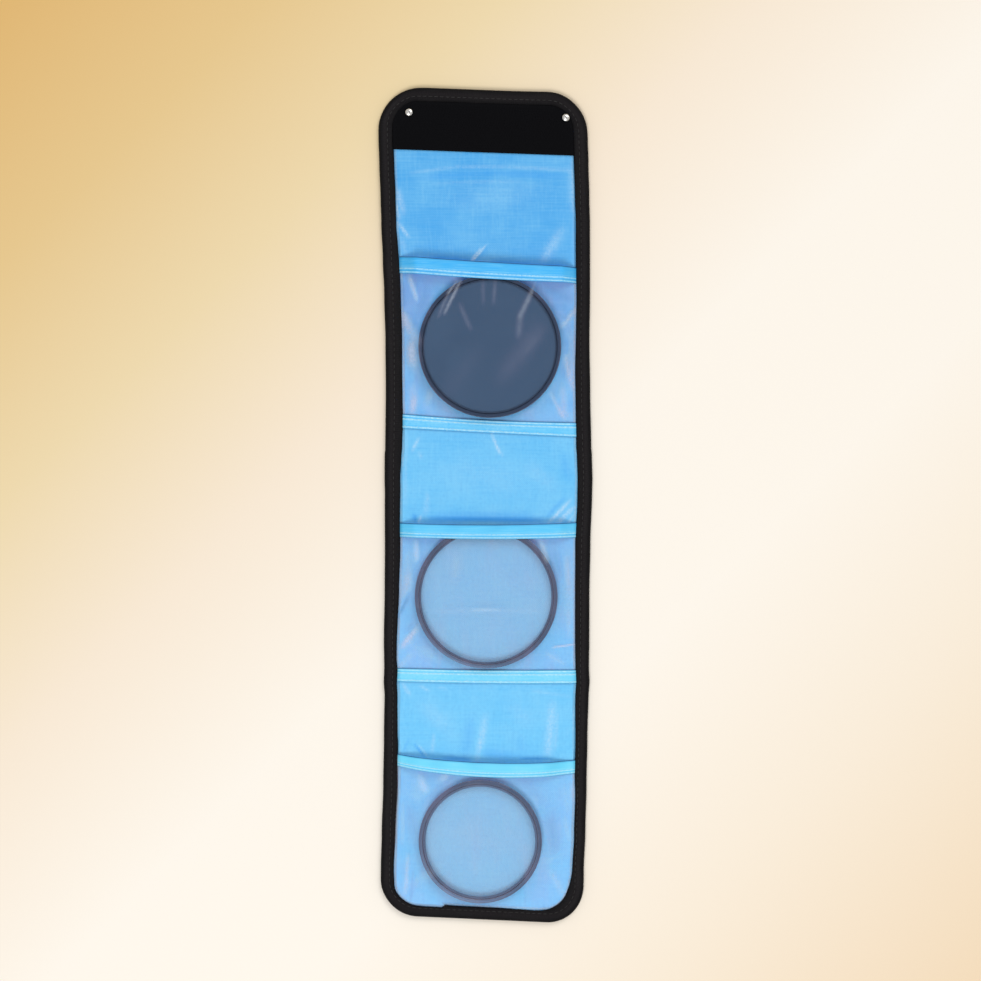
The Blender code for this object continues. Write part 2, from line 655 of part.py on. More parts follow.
def make_loop_patch(pivot):
    """The patch on the back that meets the hook strip when the flap is closed."""
    hook_start = FLAP_START + HOOK_OFFSET
    hook_end = HALF_LENGTH - BINDING_WIDTH - HOOK_MARGIN
    hook_from_crease = (hook_start + hook_end) / 2 - FLAP_START
    closed_y = UPPER_END - hook_from_crease
    middle_y = MIDDLE_END - (closed_y - UPPER_START)
    half_x = HALF_WIDTH - BINDING_WIDTH - LOOP_MARGIN
    bm = bmesh.new()
    bmesh.ops.create_cube(bm, size=1)
    bmesh.ops.scale(bm, vec=(2 * half_x, LOOP_LENGTH, LOOP_THICKNESS), verts=bm.verts[:])
    bmesh.ops.translate(bm, verts=bm.verts[:], vec=(0, middle_y, LOOP_THICKNESS / 2))
    upright = [e for e in bm.edges if abs(e.verts[0].co.z - e.verts[1].co.z) > LOOP_THICKNESS / 2]
    bmesh.ops.bevel(bm, geom=upright, offset=LOOP_CORNER, segments=CORNER_STEPS // 2,
                    affect="EDGES", profile=0.5)
    make_part("loop_patch", bm, pivot, "loop_tape")


def rivet_profile():
    """Back cap, shank and domed head, from the axis below to the axis above."""
    cap_z = BINDING_THICKNESS - RIVET_CAP_HEIGHT
    cap_top = BINDING_THICKNESS
    brim_z = RIVET_TOP - RIVET_HEAD_HEIGHT - RIVET_BRIM
    profile = [(0, cap_z), (RIVET_CAP_RADIUS, cap_z), (RIVET_CAP_RADIUS, cap_top),
               (RIVET_SHANK_RADIUS, cap_top), (RIVET_SHANK_RADIUS, brim_z),
               (RIVET_HEAD_RADIUS, brim_z)]
    for step in range(RIVET_DOME_STEPS + 1):
        angle = math.radians(90) * step / RIVET_DOME_STEPS
        profile.append((RIVET_HEAD_RADIUS * math.cos(angle),
                        RIVET_TOP - RIVET_HEAD_HEIGHT + RIVET_HEAD_HEIGHT * math.sin(angle)))
    return profile


def make_rivet(name, x, y, layers, pivot):
    bm = bmesh.new()
    revolve_solid(bm, rivet_profile(), RIVET_STEPS, (x, y, 0))
    smooth_round(make_part(name, bm, pivot, "rivet_metal"))
    bm = bmesh.new()
    bmesh.ops.create_cone(bm, cap_ends=True, segments=RIVET_STEPS,
                          radius1=RIVET_SHANK_RADIUS + FIT_GAP,
                          radius2=RIVET_SHANK_RADIUS + FIT_GAP,
                          depth=RIVET_TOP + CUT_OVERRUN)
    bmesh.ops.translate(bm, verts=bm.verts[:], vec=(x, y, RIVET_TOP / 2))
    cutter = make_part(name + "_hole_cutter", bm, pivot, "rivet_metal")
    cutter.hide_render = True
    cutter.display_type = "WIRE"
    for layer in layers:
        cut_hole(layer, cutter)


def make_fastening(flap_layers, flap_pivot, middle_pivot):
    strip = make_hook_strip(flap_pivot)
    make_loop_patch(middle_pivot)
    layers = [strip] + list(flap_layers.values())
    y = HALF_LENGTH - RIVET_FROM_TOP
    make_rivet("rivet_left", LEFT_RIVET_INSET - HALF_WIDTH, y, layers, flap_pivot)
    make_rivet("rivet_right", HALF_WIDTH - RIGHT_RIVET_INSET, y - RIGHT_RIVET_DROP, layers,
               flap_pivot)


def make_pivots():
    """The chain of bodies. The upper panel stays put, and each crease carries the next part."""
    upper = make_pivot("upper_panel", (0, 0, 0))
    upper_spine = make_pivot("upper_spine", (0, UPPER_START, FOLD_Z), upper)
    middle = make_pivot("middle_panel", (0, MIDDLE_END, FOLD_Z), upper_spine)
    lower_spine = make_pivot("lower_spine", (0, MIDDLE_START, FOLD_Z), middle)
    lower = make_pivot("lower_panel", (0, LOWER_END, FOLD_Z), lower_spine)
    flap_spine = make_pivot("flap_spine", (0, UPPER_END, FOLD_Z), upper)
    flap = make_pivot("flap", (0, FLAP_START, FOLD_Z), flap_spine)
    upper_pocket, middle_pocket, lower_pocket = POCKETS
    mount = make_pivot("polariser", filter_place(upper_pocket), upper)
    return {
        "upper_panel": upper, "upper_spine": upper_spine, "middle_panel": middle,
        "lower_spine": lower_spine, "lower_panel": lower, "flap_spine": flap_spine, "flap": flap,
        "polariser": mount,
        "polariser_front": make_pivot("polariser_front", filter_place(upper_pocket), mount),
        "large_clear_filter": make_pivot("large_clear_filter", filter_place(middle_pocket), middle),
        "small_clear_filter": make_pivot("small_clear_filter", filter_place(lower_pocket), lower),
    }


def main():
    clear_scene()
    make_materials()
    pivots = make_pivots()
    layers = {}
    for section in SECTIONS:
        layers[section.name] = make_layers(section, pivots[section.name])
        make_binding(section, pivots[section.name])
    for pocket in POCKETS:
        make_pocket(pocket, pivots[pocket.body])
    upper_pocket, middle_pocket, lower_pocket = POCKETS
    make_polariser(upper_pocket, pivots["polariser"], pivots["polariser_front"])
    make_clear_filter("large_clear_filter", middle_pocket, pivots["large_clear_filter"])
    make_clear_filter("small_clear_filter", lower_pocket, pivots["small_clear_filter"])
    make_fastening(layers["flap"], pivots["flap"], pivots["middle_panel"])


main()
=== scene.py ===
"""Dresses the folding filter case: taffeta lining, bound edges, clear pockets, tapes and filters.

Metres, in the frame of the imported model: +Y runs up to the flap, +Z out of the lining.
"""

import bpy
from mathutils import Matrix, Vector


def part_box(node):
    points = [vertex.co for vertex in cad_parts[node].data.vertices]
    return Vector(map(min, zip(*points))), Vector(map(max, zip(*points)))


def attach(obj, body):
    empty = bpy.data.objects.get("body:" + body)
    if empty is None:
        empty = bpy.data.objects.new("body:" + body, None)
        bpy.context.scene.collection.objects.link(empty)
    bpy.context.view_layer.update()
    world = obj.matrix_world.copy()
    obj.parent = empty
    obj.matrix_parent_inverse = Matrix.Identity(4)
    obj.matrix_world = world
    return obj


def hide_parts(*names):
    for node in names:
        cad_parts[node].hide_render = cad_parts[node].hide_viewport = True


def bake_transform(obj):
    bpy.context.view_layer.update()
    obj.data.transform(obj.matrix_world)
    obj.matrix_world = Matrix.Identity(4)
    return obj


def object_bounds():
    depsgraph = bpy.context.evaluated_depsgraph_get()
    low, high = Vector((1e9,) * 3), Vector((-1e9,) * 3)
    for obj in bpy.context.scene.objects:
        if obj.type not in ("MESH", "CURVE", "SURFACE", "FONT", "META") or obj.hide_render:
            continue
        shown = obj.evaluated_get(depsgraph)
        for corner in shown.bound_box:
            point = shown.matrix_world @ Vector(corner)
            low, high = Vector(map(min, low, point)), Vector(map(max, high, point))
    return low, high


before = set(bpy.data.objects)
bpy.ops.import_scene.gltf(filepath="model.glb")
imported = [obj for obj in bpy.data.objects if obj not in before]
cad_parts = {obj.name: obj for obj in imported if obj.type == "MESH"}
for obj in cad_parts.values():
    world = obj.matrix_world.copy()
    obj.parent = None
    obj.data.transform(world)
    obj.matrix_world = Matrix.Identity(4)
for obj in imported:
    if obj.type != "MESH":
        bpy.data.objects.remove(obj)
cad_box = [list(corner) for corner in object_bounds()]

import math
import random

import bmesh
import bpy
from mathutils import Matrix, Vector, noise

MM = 0.001
HALF_WIDTH = cad_box[1][0]
HALF_LENGTH = cad_box[1][1]
CORNER = 21.0 * MM
CREASE_GAP = 0.2 * MM
QUARTER = math.radians(90)

# The case as it lies. Both ends slope down to the right by this much, and the lower binding's
# two ends lap at this place.
TOP_SLOPE = 0.036
FOOT_SLOPE = 0.045
LAP_X = -21.6 * MM

# The binding's usual reach over the lining, and its stitches' distance from the edge
BINDING_WIDTH = 8.6 * MM
BINDING_SEAM = 5.0 * MM

# How far in from the case's edge each sheet ends, and how thick it is
SHEET_INSET = 2.2 * MM
FOAM_INSET = 12.4 * MM
STRIP_INSET = 8.2 * MM
LINING_THICK = 0.3 * MM
SHELL_THICK = 0.6 * MM
FOAM_THICK = 1.2 * MM
FILM_THICK = 0.25 * MM
TAPE_THICK = 0.4 * MM

# How far the laid-out case bows to the right of its middle line, and how wide half of it is
BOW = ((-234, -2.6), (-219, -2.3), (-205.5, -2.2), (-185, -1.5), (-158, -0.75), (-131, -0.3),
       (-104, 0.25), (-77, 0.2), (-50, 0.45), (-23, 0.8), (10, 1.3), (30, 1.15), (64, 1.0),
       (91, 0.7), (118, 0.5), (138, 0.1), (158, -0.35), (172, -0.7), (192, -1.3), (206, -1.7),
       (219, -2.1), (234, -2.2))
SPREAD = ((-234, 57.0), (-205, 57.1), (-185, 57.3), (-158, 57.2), (-131, 57.25), (-108, 57.4),
          (-100, 57.9), (-92, 57.6), (-77, 57.8), (-50, 57.6), (-23, 57.8), (5, 58.3), (14, 58.5),
          (28, 58.3), (31, 57.95), (64, 57.5), (91, 57.4), (118, 57.9), (138, 58.3),
          (158, 58.7), (206, 58.9), (234, 58.4))
# How much further in the binding reaches at the left and at the right than its usual width
LIP_LEFT = ((-234, 0.0), (-204, 0.4), (-175, 0.8), (-155, 1.2), (-140, 0.8), (-126, 0.35),
            (-95, 0.2), (-86, -0.7), (-64, -0.5), (-47, -0.2), (-20, 0.2), (13, 0.2), (30, 1.1),
            (47, 1.35), (60, 1.0), (100, 1.0), (130, 1.0), (145, 0.3), (160, -0.2), (199, -0.2),
            (234, 0.0))
LIP_RIGHT = ((-234, 0.0), (-217, 0.3), (-203, -0.6), (-185, -0.6), (-165, -0.8), (-150, -0.4),
             (-130, -0.2), (-110, 0.3), (-86, 0.0), (-64, -0.4), (-47, -0.4), (-20, -0.1),
             (70, 0.0), (100, -0.7), (132, -0.6), (150, -0.5), (199, -0.3), (234, 0.0))


def between(table, value):
    """The table's value here, in millimetres, eased between its entries."""
    if value <= table[0][0]:
        return table[0][1]
    for (a, low), (b, high) in zip(table, table[1:]):
        if value <= b:
            share = (value - a) / (b - a)
            return low + (high - low) * share * share * (3 - 2 * share)
    return table[-1][1]


def clamped(value):
    """The value kept from 0 to 1."""
    return min(max(value, 0.0), 1.0)


def ease(value, start, end):
    """0 up to the start and 1 from the end on, with a smooth step between."""
    share = clamped((value - start) / (end - start))
    return share * share * (3 - 2 * share)


def lay_out(x, y):
    """Moves a point of the plan to where the soft case really lies, a little bowed and skewed."""
    moved = between(BOW, y / MM) * MM + x * between(SPREAD, y / MM) * MM / HALF_WIDTH
    # Both ends slope, and the cloth there is drawn in or out by about a millimetre
    top = ease(y, 0.1935, 0.2300)
    foot = ease(-y, 0.1900, 0.2300)
    skew = -TOP_SLOPE * x * top - FOOT_SLOPE * x * foot
    corner = ease(x, 0.0150, 0.0580) * ease(y, 0.2150, 0.2342)
    drawn_in = -0.0012 * top + 0.0006 * foot + 0.0006 * corner
    # The upper corners lie rounder than the plan: both edges give way along a quarter circle
    along_x = clamped((abs(x) - 0.0300) / 0.0280)
    along_y = clamped((y - 0.2060) / 0.0282)
    give = 0.0031 if x < 0 else 0.0008
    slide_x = give * (1 - math.sqrt(1 - along_y * along_y)) * min(abs(x) / 0.0370, 1.0)
    slide_y = give * (1 - math.sqrt(1 - along_x * along_x)) * ease(y, 0.1960, 0.2160)
    return moved - math.copysign(slide_x, x), y + skew + drawn_in - slide_y


def laid(x, y, z):
    """A point of the plan as it lies, at this height."""
    return Vector((*lay_out(x, y), z))


def swell(x, y, across, along, seed):
    """Smooth noise from -1 to 1 over the plan, with about this many swells a metre."""
    return noise.noise(Vector((x * across, y * along, seed)))


def lip_at(x, y):
    """How far in the binding reaches here. It is narrower round the lower end, and laps there."""
    width = 8.5 - 1.2 * ease(-y, 0.0600, 0.1100)
    foot = ease(-y, 0.2132, 0.2240)
    # Left of the lap it is narrow. From the lap, where it is wider, it narrows to the right.
    if x < LAP_X:
        width -= 1.2 * foot
    else:
        width -= 0.8 * foot * min((x - LAP_X) / 0.0500, 1.0) - 0.3 * foot
    sides = ease(abs(x), 0.0100, 0.0350)
    width += sides * between(LIP_LEFT if x < 0 else LIP_RIGHT, y / MM)
    lower_corner = ease(abs(x), 0.0300, 0.0500) * ease(-y, 0.2050, 0.2250)
    width += lower_corner * (0.8 if x < 0 else 2.2)
    return width * MM


def inset_of(x, y):
    """How far in from the case's edge a point of the plan is."""
    from_x = HALF_WIDTH - CORNER - abs(x)
    from_y = HALF_LENGTH - CORNER - abs(y)
    if from_x < 0 and from_y < 0:
        return CORNER - math.hypot(from_x, from_y)
    return min(HALF_WIDTH - abs(x), HALF_LENGTH - abs(y))


def half_at(y, inset):
    """Half the case's width at this y, less an inset that follows the rounded corners."""
    into_corner = abs(y) - (HALF_LENGTH - CORNER)
    if into_corner <= 0:
        return HALF_WIDTH - inset
    radius = CORNER - inset
    return HALF_WIDTH - CORNER + math.sqrt(max(radius * radius - into_corner * into_corner, 0.0))


def creases():
    """Where the seven sections meet, from the lower end to the upper one."""
    lines = [-HALF_LENGTH]
    for spine in ("lower_spine", "upper_spine", "flap_spine"):
        low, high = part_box(spine + "_shell")
        lines += [low[1] - CREASE_GAP, high[1] + CREASE_GAP]
    return lines + [HALF_LENGTH]


NAMES = ("lower_panel", "lower_spine", "middle_panel", "upper_spine", "upper_panel", "flap_spine",
         "flap")
LINES = creases()
SPANS = {name: (LINES[i], LINES[i + 1]) for i, name in enumerate(NAMES)}

# What each section folds from, the crease it folds on, and how far past it the cloth bends
FOLDS = {
    "flap_spine": ("upper_panel", LINES[5], 8 * MM),
    "flap": ("flap_spine", LINES[6], 6 * MM),
    "upper_spine": ("upper_panel", LINES[4], -8 * MM),
    "middle_panel": ("upper_spine", LINES[3], -8 * MM),
    "lower_spine": ("middle_panel", LINES[2], -6 * MM),
    "lower_panel": ("lower_spine", LINES[1], -6 * MM),
}


def carry(piece, section):
    """The piece rides on its section. On a section that folds, its place is only baked into its
    mesh.
    """
    if section in FOLDS:
        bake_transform(piece)
    else:
        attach(piece, section)


# Materials


def linear(code):
    """A colour written as sRGB hex, as Blender's linear RGBA."""
    channels = [int(code[i:i + 2], 16) / 255 for i in (1, 3, 5)]
    return [c / 12.92 if c <= 0.04045 else ((c + 0.055) / 1.055) ** 2.4 for c in channels] + [1.0]


def fill(tree, node, inputs):
    """Sets a node's inputs, by name or in their order. A node or a socket given is linked."""
    for key, value in inputs.items() if isinstance(inputs, dict) else enumerate(inputs):
        if isinstance(value, bpy.types.Node):
            value = value.outputs[0]
        if isinstance(value, bpy.types.NodeSocket):
            tree.links.new(value, node.inputs[key])
        else:
            node.inputs[key].default_value = value


def add(tree, kind, inputs=(), **settings):
    """One node with its settings and inputs."""
    node = tree.nodes.new("ShaderNode" + kind)
    for name, value in settings.items():
        setattr(node, name, value)
    fill(tree, node, inputs)
    return node


def make_material(name, paint, *values):
    """A new material, whose shader gets the inputs that its paint function works out."""
    material = bpy.data.materials.new(name)
    material.use_nodes = True
    tree = material.node_tree
    fill(tree, tree.nodes["Principled BSDF"], paint(tree, *values))
    return material


def tinted(tree, base, *layers):
    """A colour under others: each one's pattern, where it starts and is full, share and colour."""
    for pattern, begins, full, strength, code in layers:
        share = add(tree, "MapRange", (pattern, begins, full, 0.0, strength))
        mix = add(tree, "Mix", {0: share, 6: base, 7: linear(code)}, data_type="RGBA")
        base = mix.outputs[2]
    return base


def graded(tree, value, stops):
    """A colour that changes along a value, from each place and its colour to the next."""
    steps = zip(stops, stops[1:])
    layers = [(value, place, next_place, 1.0, code) for (place, _), (next_place, code) in steps]
    return tinted(tree, linear(stops[0][1]), *layers)


def ribs(tree, axis, apart):
    """Height of ribs across an axis, this far apart, in the millimetres of the UV map."""
    turns = add(tree, "Math", (axis, math.tau / apart), operation="MULTIPLY")
    return add(tree, "Math", (turns,), operation="SINE")


def weave(tree, across, along, apart):
    """Height of a plain weave, its threads this far apart."""
    both = ribs(tree, across, apart), ribs(tree, along, apart)
    return add(tree, "Math", both, operation="MULTIPLY")


def uv_axes(tree):
    """The UV map, which is in millimetres, and its two axes."""
    uv = add(tree, "UVMap")
    parts = add(tree, "SeparateXYZ", (uv,))
    return uv, parts.outputs[0], parts.outputs[1]


def painted_light_parts(tree, faint=0.25, strong=1.45):
    """The sheet's painted light, as painted highlight and painted shade, both from 0."""
    value = add(tree, "Attribute", attribute_name="painted_light").outputs["Fac"]
    crumple = add(tree, "TexNoise", {"Vector": add(tree, "UVMap"), "Scale": 0.75, "Detail": 4.0,
                                     "Roughness": 0.7, "Distortion": 0.8})
    broken = add(tree, "MapRange", (crumple, 0.34, 0.66, faint, strong))
    broken = add(tree, "Math", (value, broken), operation="MULTIPLY")
    return add(tree, "MapRange", (broken, 0.0, 1.0)), add(tree, "MapRange", (value, 0.0, -1.0))


def lining_taffeta(tree):
    """Nylon taffeta, plain woven and calendered. Flat bright threads give a silky streaky sheen."""
    uv, x, y = uv_axes(tree)
    painted_highlight, painted_shade = painted_light_parts(tree)
    # Real threads are 0.12 mm apart. They are drawn at 1.1 mm, the finest that shows.
    threads = weave(tree, x, y, 1.1)
    drift = add(tree, "Mapping", {"Vector": uv, "Scale": (0.045, 1.0, 1.0),
                                  "Rotation": (0.0, 0.0, 0.03)})
    weft = add(tree, "TexNoise", {"Vector": drift, "Scale": 0.9, "Detail": 5.0,
                                  "Roughness": 0.65, "Distortion": 0.4})
    drift = add(tree, "Mapping", {"Vector": uv, "Scale": (1.0, 0.10, 1.0)})
    warp = add(tree, "TexNoise", {"Vector": drift, "Scale": 0.8, "Detail": 4.0,
                                  "Distortion": 0.5})
    cloudy = add(tree, "TexNoise", {"Vector": uv, "Scale": 0.045, "Detail": 4.0})
    mottle = add(tree, "TexNoise", {"Vector": uv, "Scale": 0.55, "Detail": 3.0})
    base = graded(tree, y, ((-150.0, "#6fcdfe"), (40.0, "#69c5fa"), (138.8, "#50aff1"),
                            (230.0, "#48a9eb")))
    # Paler and darker weft and warp streaks are painted sheen; then the folds' painted highlight
    # and shade
    base = tinted(tree, base,
                  (cloudy, 0.40, 0.68, 0.30, "#8fd8fc"), (mottle, 0.45, 0.75, 0.20, "#3c9ae2"),
                  (warp, 0.50, 0.72, 0.14, "#9adfff"), (warp, 0.46, 0.28, 0.10, "#3f9fe6"),
                  (weft, 0.42, 0.72, 0.17, "#9adfff"), (weft, 0.48, 0.25, 0.10, "#3f9fe6"),
                  (threads, -1.0, 1.0, 0.08, "#2f86cf"),
                  (painted_highlight, 0.0, 1.0, 1.0, "#c9e6fb"), (painted_shade, 0.0, 1.0, 1.0, "#1597f4"))
    relief = add(tree, "Math", (threads, weft), operation="ADD")
    bump = add(tree, "Bump", {"Height": relief, "Strength": 0.35, "Distance": 0.00008})
    rough = add(tree, "MapRange", (weft, 0.3, 0.8, 0.52, 0.38))
    return {"Base Color": base, "Roughness": rough, "Specular IOR Level": 0.3,
            "Sheen Weight": 0.1, "Sheen Roughness": 0.4, "Normal": bump}


def shell_cloth(tree):
    """Polyester pack cloth, heavy plain weave. Thick threads give the back a coarse matt grid."""
    uv, x, y = uv_axes(tree)
    # 600 denier threads lie about 0.5 mm apart, and are drawn at 0.9 mm.
    threads = weave(tree, x, y, 0.9)
    cloudy = add(tree, "TexNoise", {"Vector": uv, "Scale": 0.06, "Detail": 4.0})
    base = tinted(tree, linear("#0e0e10"), (threads, -0.8, 1.0, 1.0, "#26262a"),
                  (cloudy, 0.4, 0.75, 0.35, "#303034"))
    bump = add(tree, "Bump", {"Height": threads, "Strength": 0.7, "Distance": 0.0002})
    return {"Base Color": base, "Roughness": 0.72, "Sheen Weight": 0.15, "Normal": bump}


def binding_twill(tree):
    """Polyester binding tape, woven with cross ribs and folded. Black, with a dull ribbed bloom."""
    uv, along, across = uv_axes(tree)
    # Ribs of such a tape are about 0.6 mm apart, and are drawn at 1 mm.
    rib = ribs(tree, along, 1.0)
    fibre = add(tree, "TexNoise", {"Vector": uv, "Scale": 1.1, "Detail": 5.0, "Roughness": 0.7})
    drift = add(tree, "Mapping", {"Vector": uv, "Scale": (0.06, 0.35, 1.0)})
    worn = add(tree, "TexNoise", {"Vector": drift, "Scale": 1.0, "Detail": 3.0})
    # The upper shoulder, 12 to 18 mm round the folded tape, gets a painted highlight along its
    # ridge
    sides = [add(tree, "MapRange", (across, *ends)) for ends in ((12.4, 14.2), (18.2, 15.8))]
    crown = add(tree, "Math", sides, operation="MULTIPLY")
    base = tinted(tree, linear("#050406"), (fibre, 0.3, 0.75, 1.0, "#121013"),
                  (crown, 0.0, 1.0, 0.3, "#2b2628"), (worn, 0.5, 0.8, 0.4, "#221f20"))
    relief = add(tree, "Math", (rib, fibre), operation="ADD")
    bump = add(tree, "Bump", {"Height": relief, "Strength": 0.6, "Distance": 0.00012})
    return {"Base Color": base, "Roughness": 0.55, "Specular IOR Level": 0.12, "Normal": bump}


def pocket_tape(tree):
    """Nylon tape, folded and pressed over the film's edge. Brighter and slicker than the lining."""
    uv, x, y = uv_axes(tree)
    painted_highlight, painted_shade = painted_light_parts(tree)
    # Its threads are about 0.15 mm apart, and are drawn at 0.8 mm.
    threads = weave(tree, x, y, 0.8)
    drift = add(tree, "Mapping", {"Vector": uv, "Scale": (0.08, 1.2, 1.0)})
    weft = add(tree, "TexNoise", {"Vector": drift, "Scale": 1.0, "Detail": 3.0})
    # Over the tone go the ridges' painted highlight and painted shade, deepest at the rolled edges
    base = tinted(tree, linear("#3ab6fb"), (y, 140.0, -150.0, 1.0, "#6edcff"),
                  (weft, 0.4, 0.75, 0.4, "#86e0ff"), (threads, -1.0, 1.0, 0.08, "#2a8fda"),
                  (painted_highlight, 0.0, 1.0, 1.0, "#c2f2ff"), (painted_shade, 0.0, 1.0, 1.0, "#1c86c6"),
                  (painted_shade, 0.55, 0.95, 1.0, "#0c3f80"))
    bump = add(tree, "Bump", {"Height": threads, "Strength": 0.3, "Distance": 0.00008})
    return {"Base Color": base, "Roughness": 0.42, "Specular IOR Level": 0.35, "Normal": bump}


def window_film(tree):
    """Clear soft vinyl, cast as film. Plasticiser clouds it, painted highlights whiten it."""
    uv = add(tree, "UVMap")
    painted_highlight, painted_shade = painted_light_parts(tree, 0.60, 1.25)
    cloud = add(tree, "TexNoise", {"Vector": uv, "Scale": 0.06, "Detail": 3.0, "Roughness": 0.5})
    # Faint streaks that run down the film raise its haze: painted glints
    drift = add(tree, "Mapping", {"Vector": uv, "Scale": (0.10, 0.03, 1.0)})
    drawn = add(tree, "TexNoise", {"Vector": drift, "Scale": 1.0, "Detail": 2.0,
                                   "Distortion": 0.5})
    base = tinted(tree, linear("#e2c9f4"), (painted_highlight, 0.0, 0.12, 1.0, "#dce6fa"),
                  (painted_shade, 0.0, 0.50, 1.0, "#5f8bc2"))
    slack = add(tree, "Attribute", attribute_name="slack").outputs["Fac"]
    haze = add(tree, "MapRange", (cloud, 0.3, 0.75, 0.045, 0.085))
    painted_streak_glints = add(tree, "MapRange", (drawn, 0.52, 0.75, 0.0, 0.05))
    haze = add(tree, "Math", (haze, painted_streak_glints), operation="ADD")
    haze = add(tree, "Math", (haze, slack), operation="MULTIPLY")
    # The painted highlight and painted shade also thicken the haze
    for part, weight in ((painted_highlight, 0.50), (painted_shade, 0.30)):
        haze = add(tree, "Math", (part, weight, haze), operation="MULTIPLY_ADD")
    return {"Base Color": base, "Alpha": haze, "Roughness": 0.32, "IOR": 1.53,
            "Specular IOR Level": 0.4}


def hook_nylon(tree):
    """Nylon hook tape, woven with cut loops. Black, with a faint glint on each hook."""
    _, x, y = uv_axes(tree)
    # The ground's threads are about 0.3 mm apart, and are drawn at 0.9 mm.
    threads = weave(tree, x, y, 0.9)
    base = tinted(tree, linear("#060608"), (threads, -1.0, 1.0, 1.0, "#101013"))
    bump = add(tree, "Bump", {"Height": threads, "Strength": 0.6, "Distance": 0.0002})
    return {"Base Color": base, "Roughness": 0.70, "Specular IOR Level": 0.05, "Normal": bump}


def loop_nylon(tree):
    """Brushed nylon loop tape. The raised nap is dull black with paler tips."""
    place = add(tree, "TexCoord").outputs["Object"]
    # The nap's tufts are about 0.3 mm, and are drawn at 0.7 mm.
    nap = add(tree, "TexNoise", {"Vector": place, "Scale": 1400.0, "Detail": 4.0,
                                 "Roughness": 0.7})
    base = tinted(tree, linear("#08080a"), (nap, 0.35, 0.75, 1.0, "#222226"))
    bump = add(tree, "Bump", {"Height": nap, "Strength": 0.8, "Distance": 0.0004})
    return {"Base Color": base, "Roughness": 0.95, "Sheen Weight": 0.5, "Normal": bump}


def padding_foam(tree):
    """Polyethylene foam sheet, skived thin. Fine closed cells show on its cut edges."""
    place = add(tree, "TexCoord").outputs["Object"]
    # Cells of about 0.5 mm, as in the real foam
    cells = add(tree, "TexVoronoi", {"Vector": place, "Scale": 1800.0})
    base = tinted(tree, linear("#4b4b4e"), (cells, 0.0, 0.6, 1.0, "#66666a"))
    bump = add(tree, "Bump", {"Height": cells, "Strength": 0.5, "Distance": 0.0002})
    return {"Base Color": base, "Roughness": 0.9, "Normal": bump}


def thread(tree, dark, bright, roughness):
    """Spun polyester sewing thread. Two plies twist, so light runs along it in short slants."""
    _, along, across = uv_axes(tree)
    slant = add(tree, "Math", (along, across), operation="ADD")
    twist = ribs(tree, slant, 0.5)
    base = tinted(tree, linear(dark), (twist, -1.0, 1.0, 1.0, bright))
    bump = add(tree, "Bump", {"Height": twist, "Strength": 0.4, "Distance": 0.0001})
    return {"Base Color": base, "Roughness": roughness, "Normal": bump}


def anodised_rim(tree, dark, worn):
    """Turned aluminium, bead blasted and anodised. Fine grained, with paler bevels and worn spots.

    Its black is drawn as the slate that it looks through the clouded film.
    """
    place = add(tree, "TexCoord")
    # The blasted grain is about 0.1 mm, and is drawn at 0.4 mm.
    grain = add(tree, "TexNoise", {"Vector": place.outputs["Object"], "Scale": 2600.0,
                                   "Detail": 2.0})
    wear = add(tree, "TexNoise", {"Vector": place.outputs["Object"], "Scale": 90.0, "Detail": 5.0,
                                  "Roughness": 0.65})
    # Bevels are drawn paler where wear is high: partly wear, partly a painted highlight on the
    # chamfers
    upright = add(tree, "SeparateXYZ", (place.outputs["Normal"],)).outputs[2]
    upright = add(tree, "Math", (upright,), operation="ABSOLUTE")
    bevel = add(tree, "MapRange", (upright, 0.97, 0.80))
    for bounds in ((upright, 0.25, 0.55), (wear, 0.35, 0.60, 0.15, 0.70)):
        bevel = add(tree, "Math", (bevel, add(tree, "MapRange", bounds)), operation="MULTIPLY")
    base = tinted(tree, linear(dark), (wear, 0.55, 0.8, 0.6, worn),
                  (bevel, 0.0, 1.0, 1.0, "#9d97a6"))
    rough = add(tree, "MapRange", (grain, 0.3, 0.7, 0.34, 0.48))
    bump = add(tree, "Bump", {"Height": grain, "Strength": 0.2, "Distance": 0.00004})
    return {"Base Color": base, "Metallic": 0.6, "Roughness": rough, "Normal": bump}


def optical_glass(tree, code, alpha, tint):
    """Optical glass, ground, polished and coated. Clear, with a faint coloured bloom of coating."""
    place = add(tree, "TexCoord").outputs["Object"]
    smear = add(tree, "TexNoise", {"Vector": place, "Scale": 26.0, "Detail": 4.0,
                                   "Distortion": 0.8})
    base = tinted(tree, linear(code), (smear, 0.35, 0.7, 0.35, tint))
    rough = add(tree, "MapRange", (smear, 0.4, 0.75, 0.12, 0.20))
    return {"Base Color": base, "Roughness": rough, "Alpha": alpha, "IOR": 1.52,
            "Specular IOR Level": 0.35}


def rivet_nickel(tree):
    """Steel, stamped and nickel plated. Bright and slightly warm, with fine handling scratches."""
    place = add(tree, "TexCoord").outputs["Object"]
    marks = add(tree, "TexNoise", {"Vector": place, "Scale": 1500.0, "Detail": 5.0,
                                   "Distortion": 2.0})
    base = tinted(tree, linear("#f0ede8"), (marks, 0.4, 0.8, 0.4, "#cfcac2"))
    rough = add(tree, "MapRange", (marks, 0.3, 0.8, 0.16, 0.34))
    return {"Base Color": base, "Metallic": 1.0, "Roughness": rough}


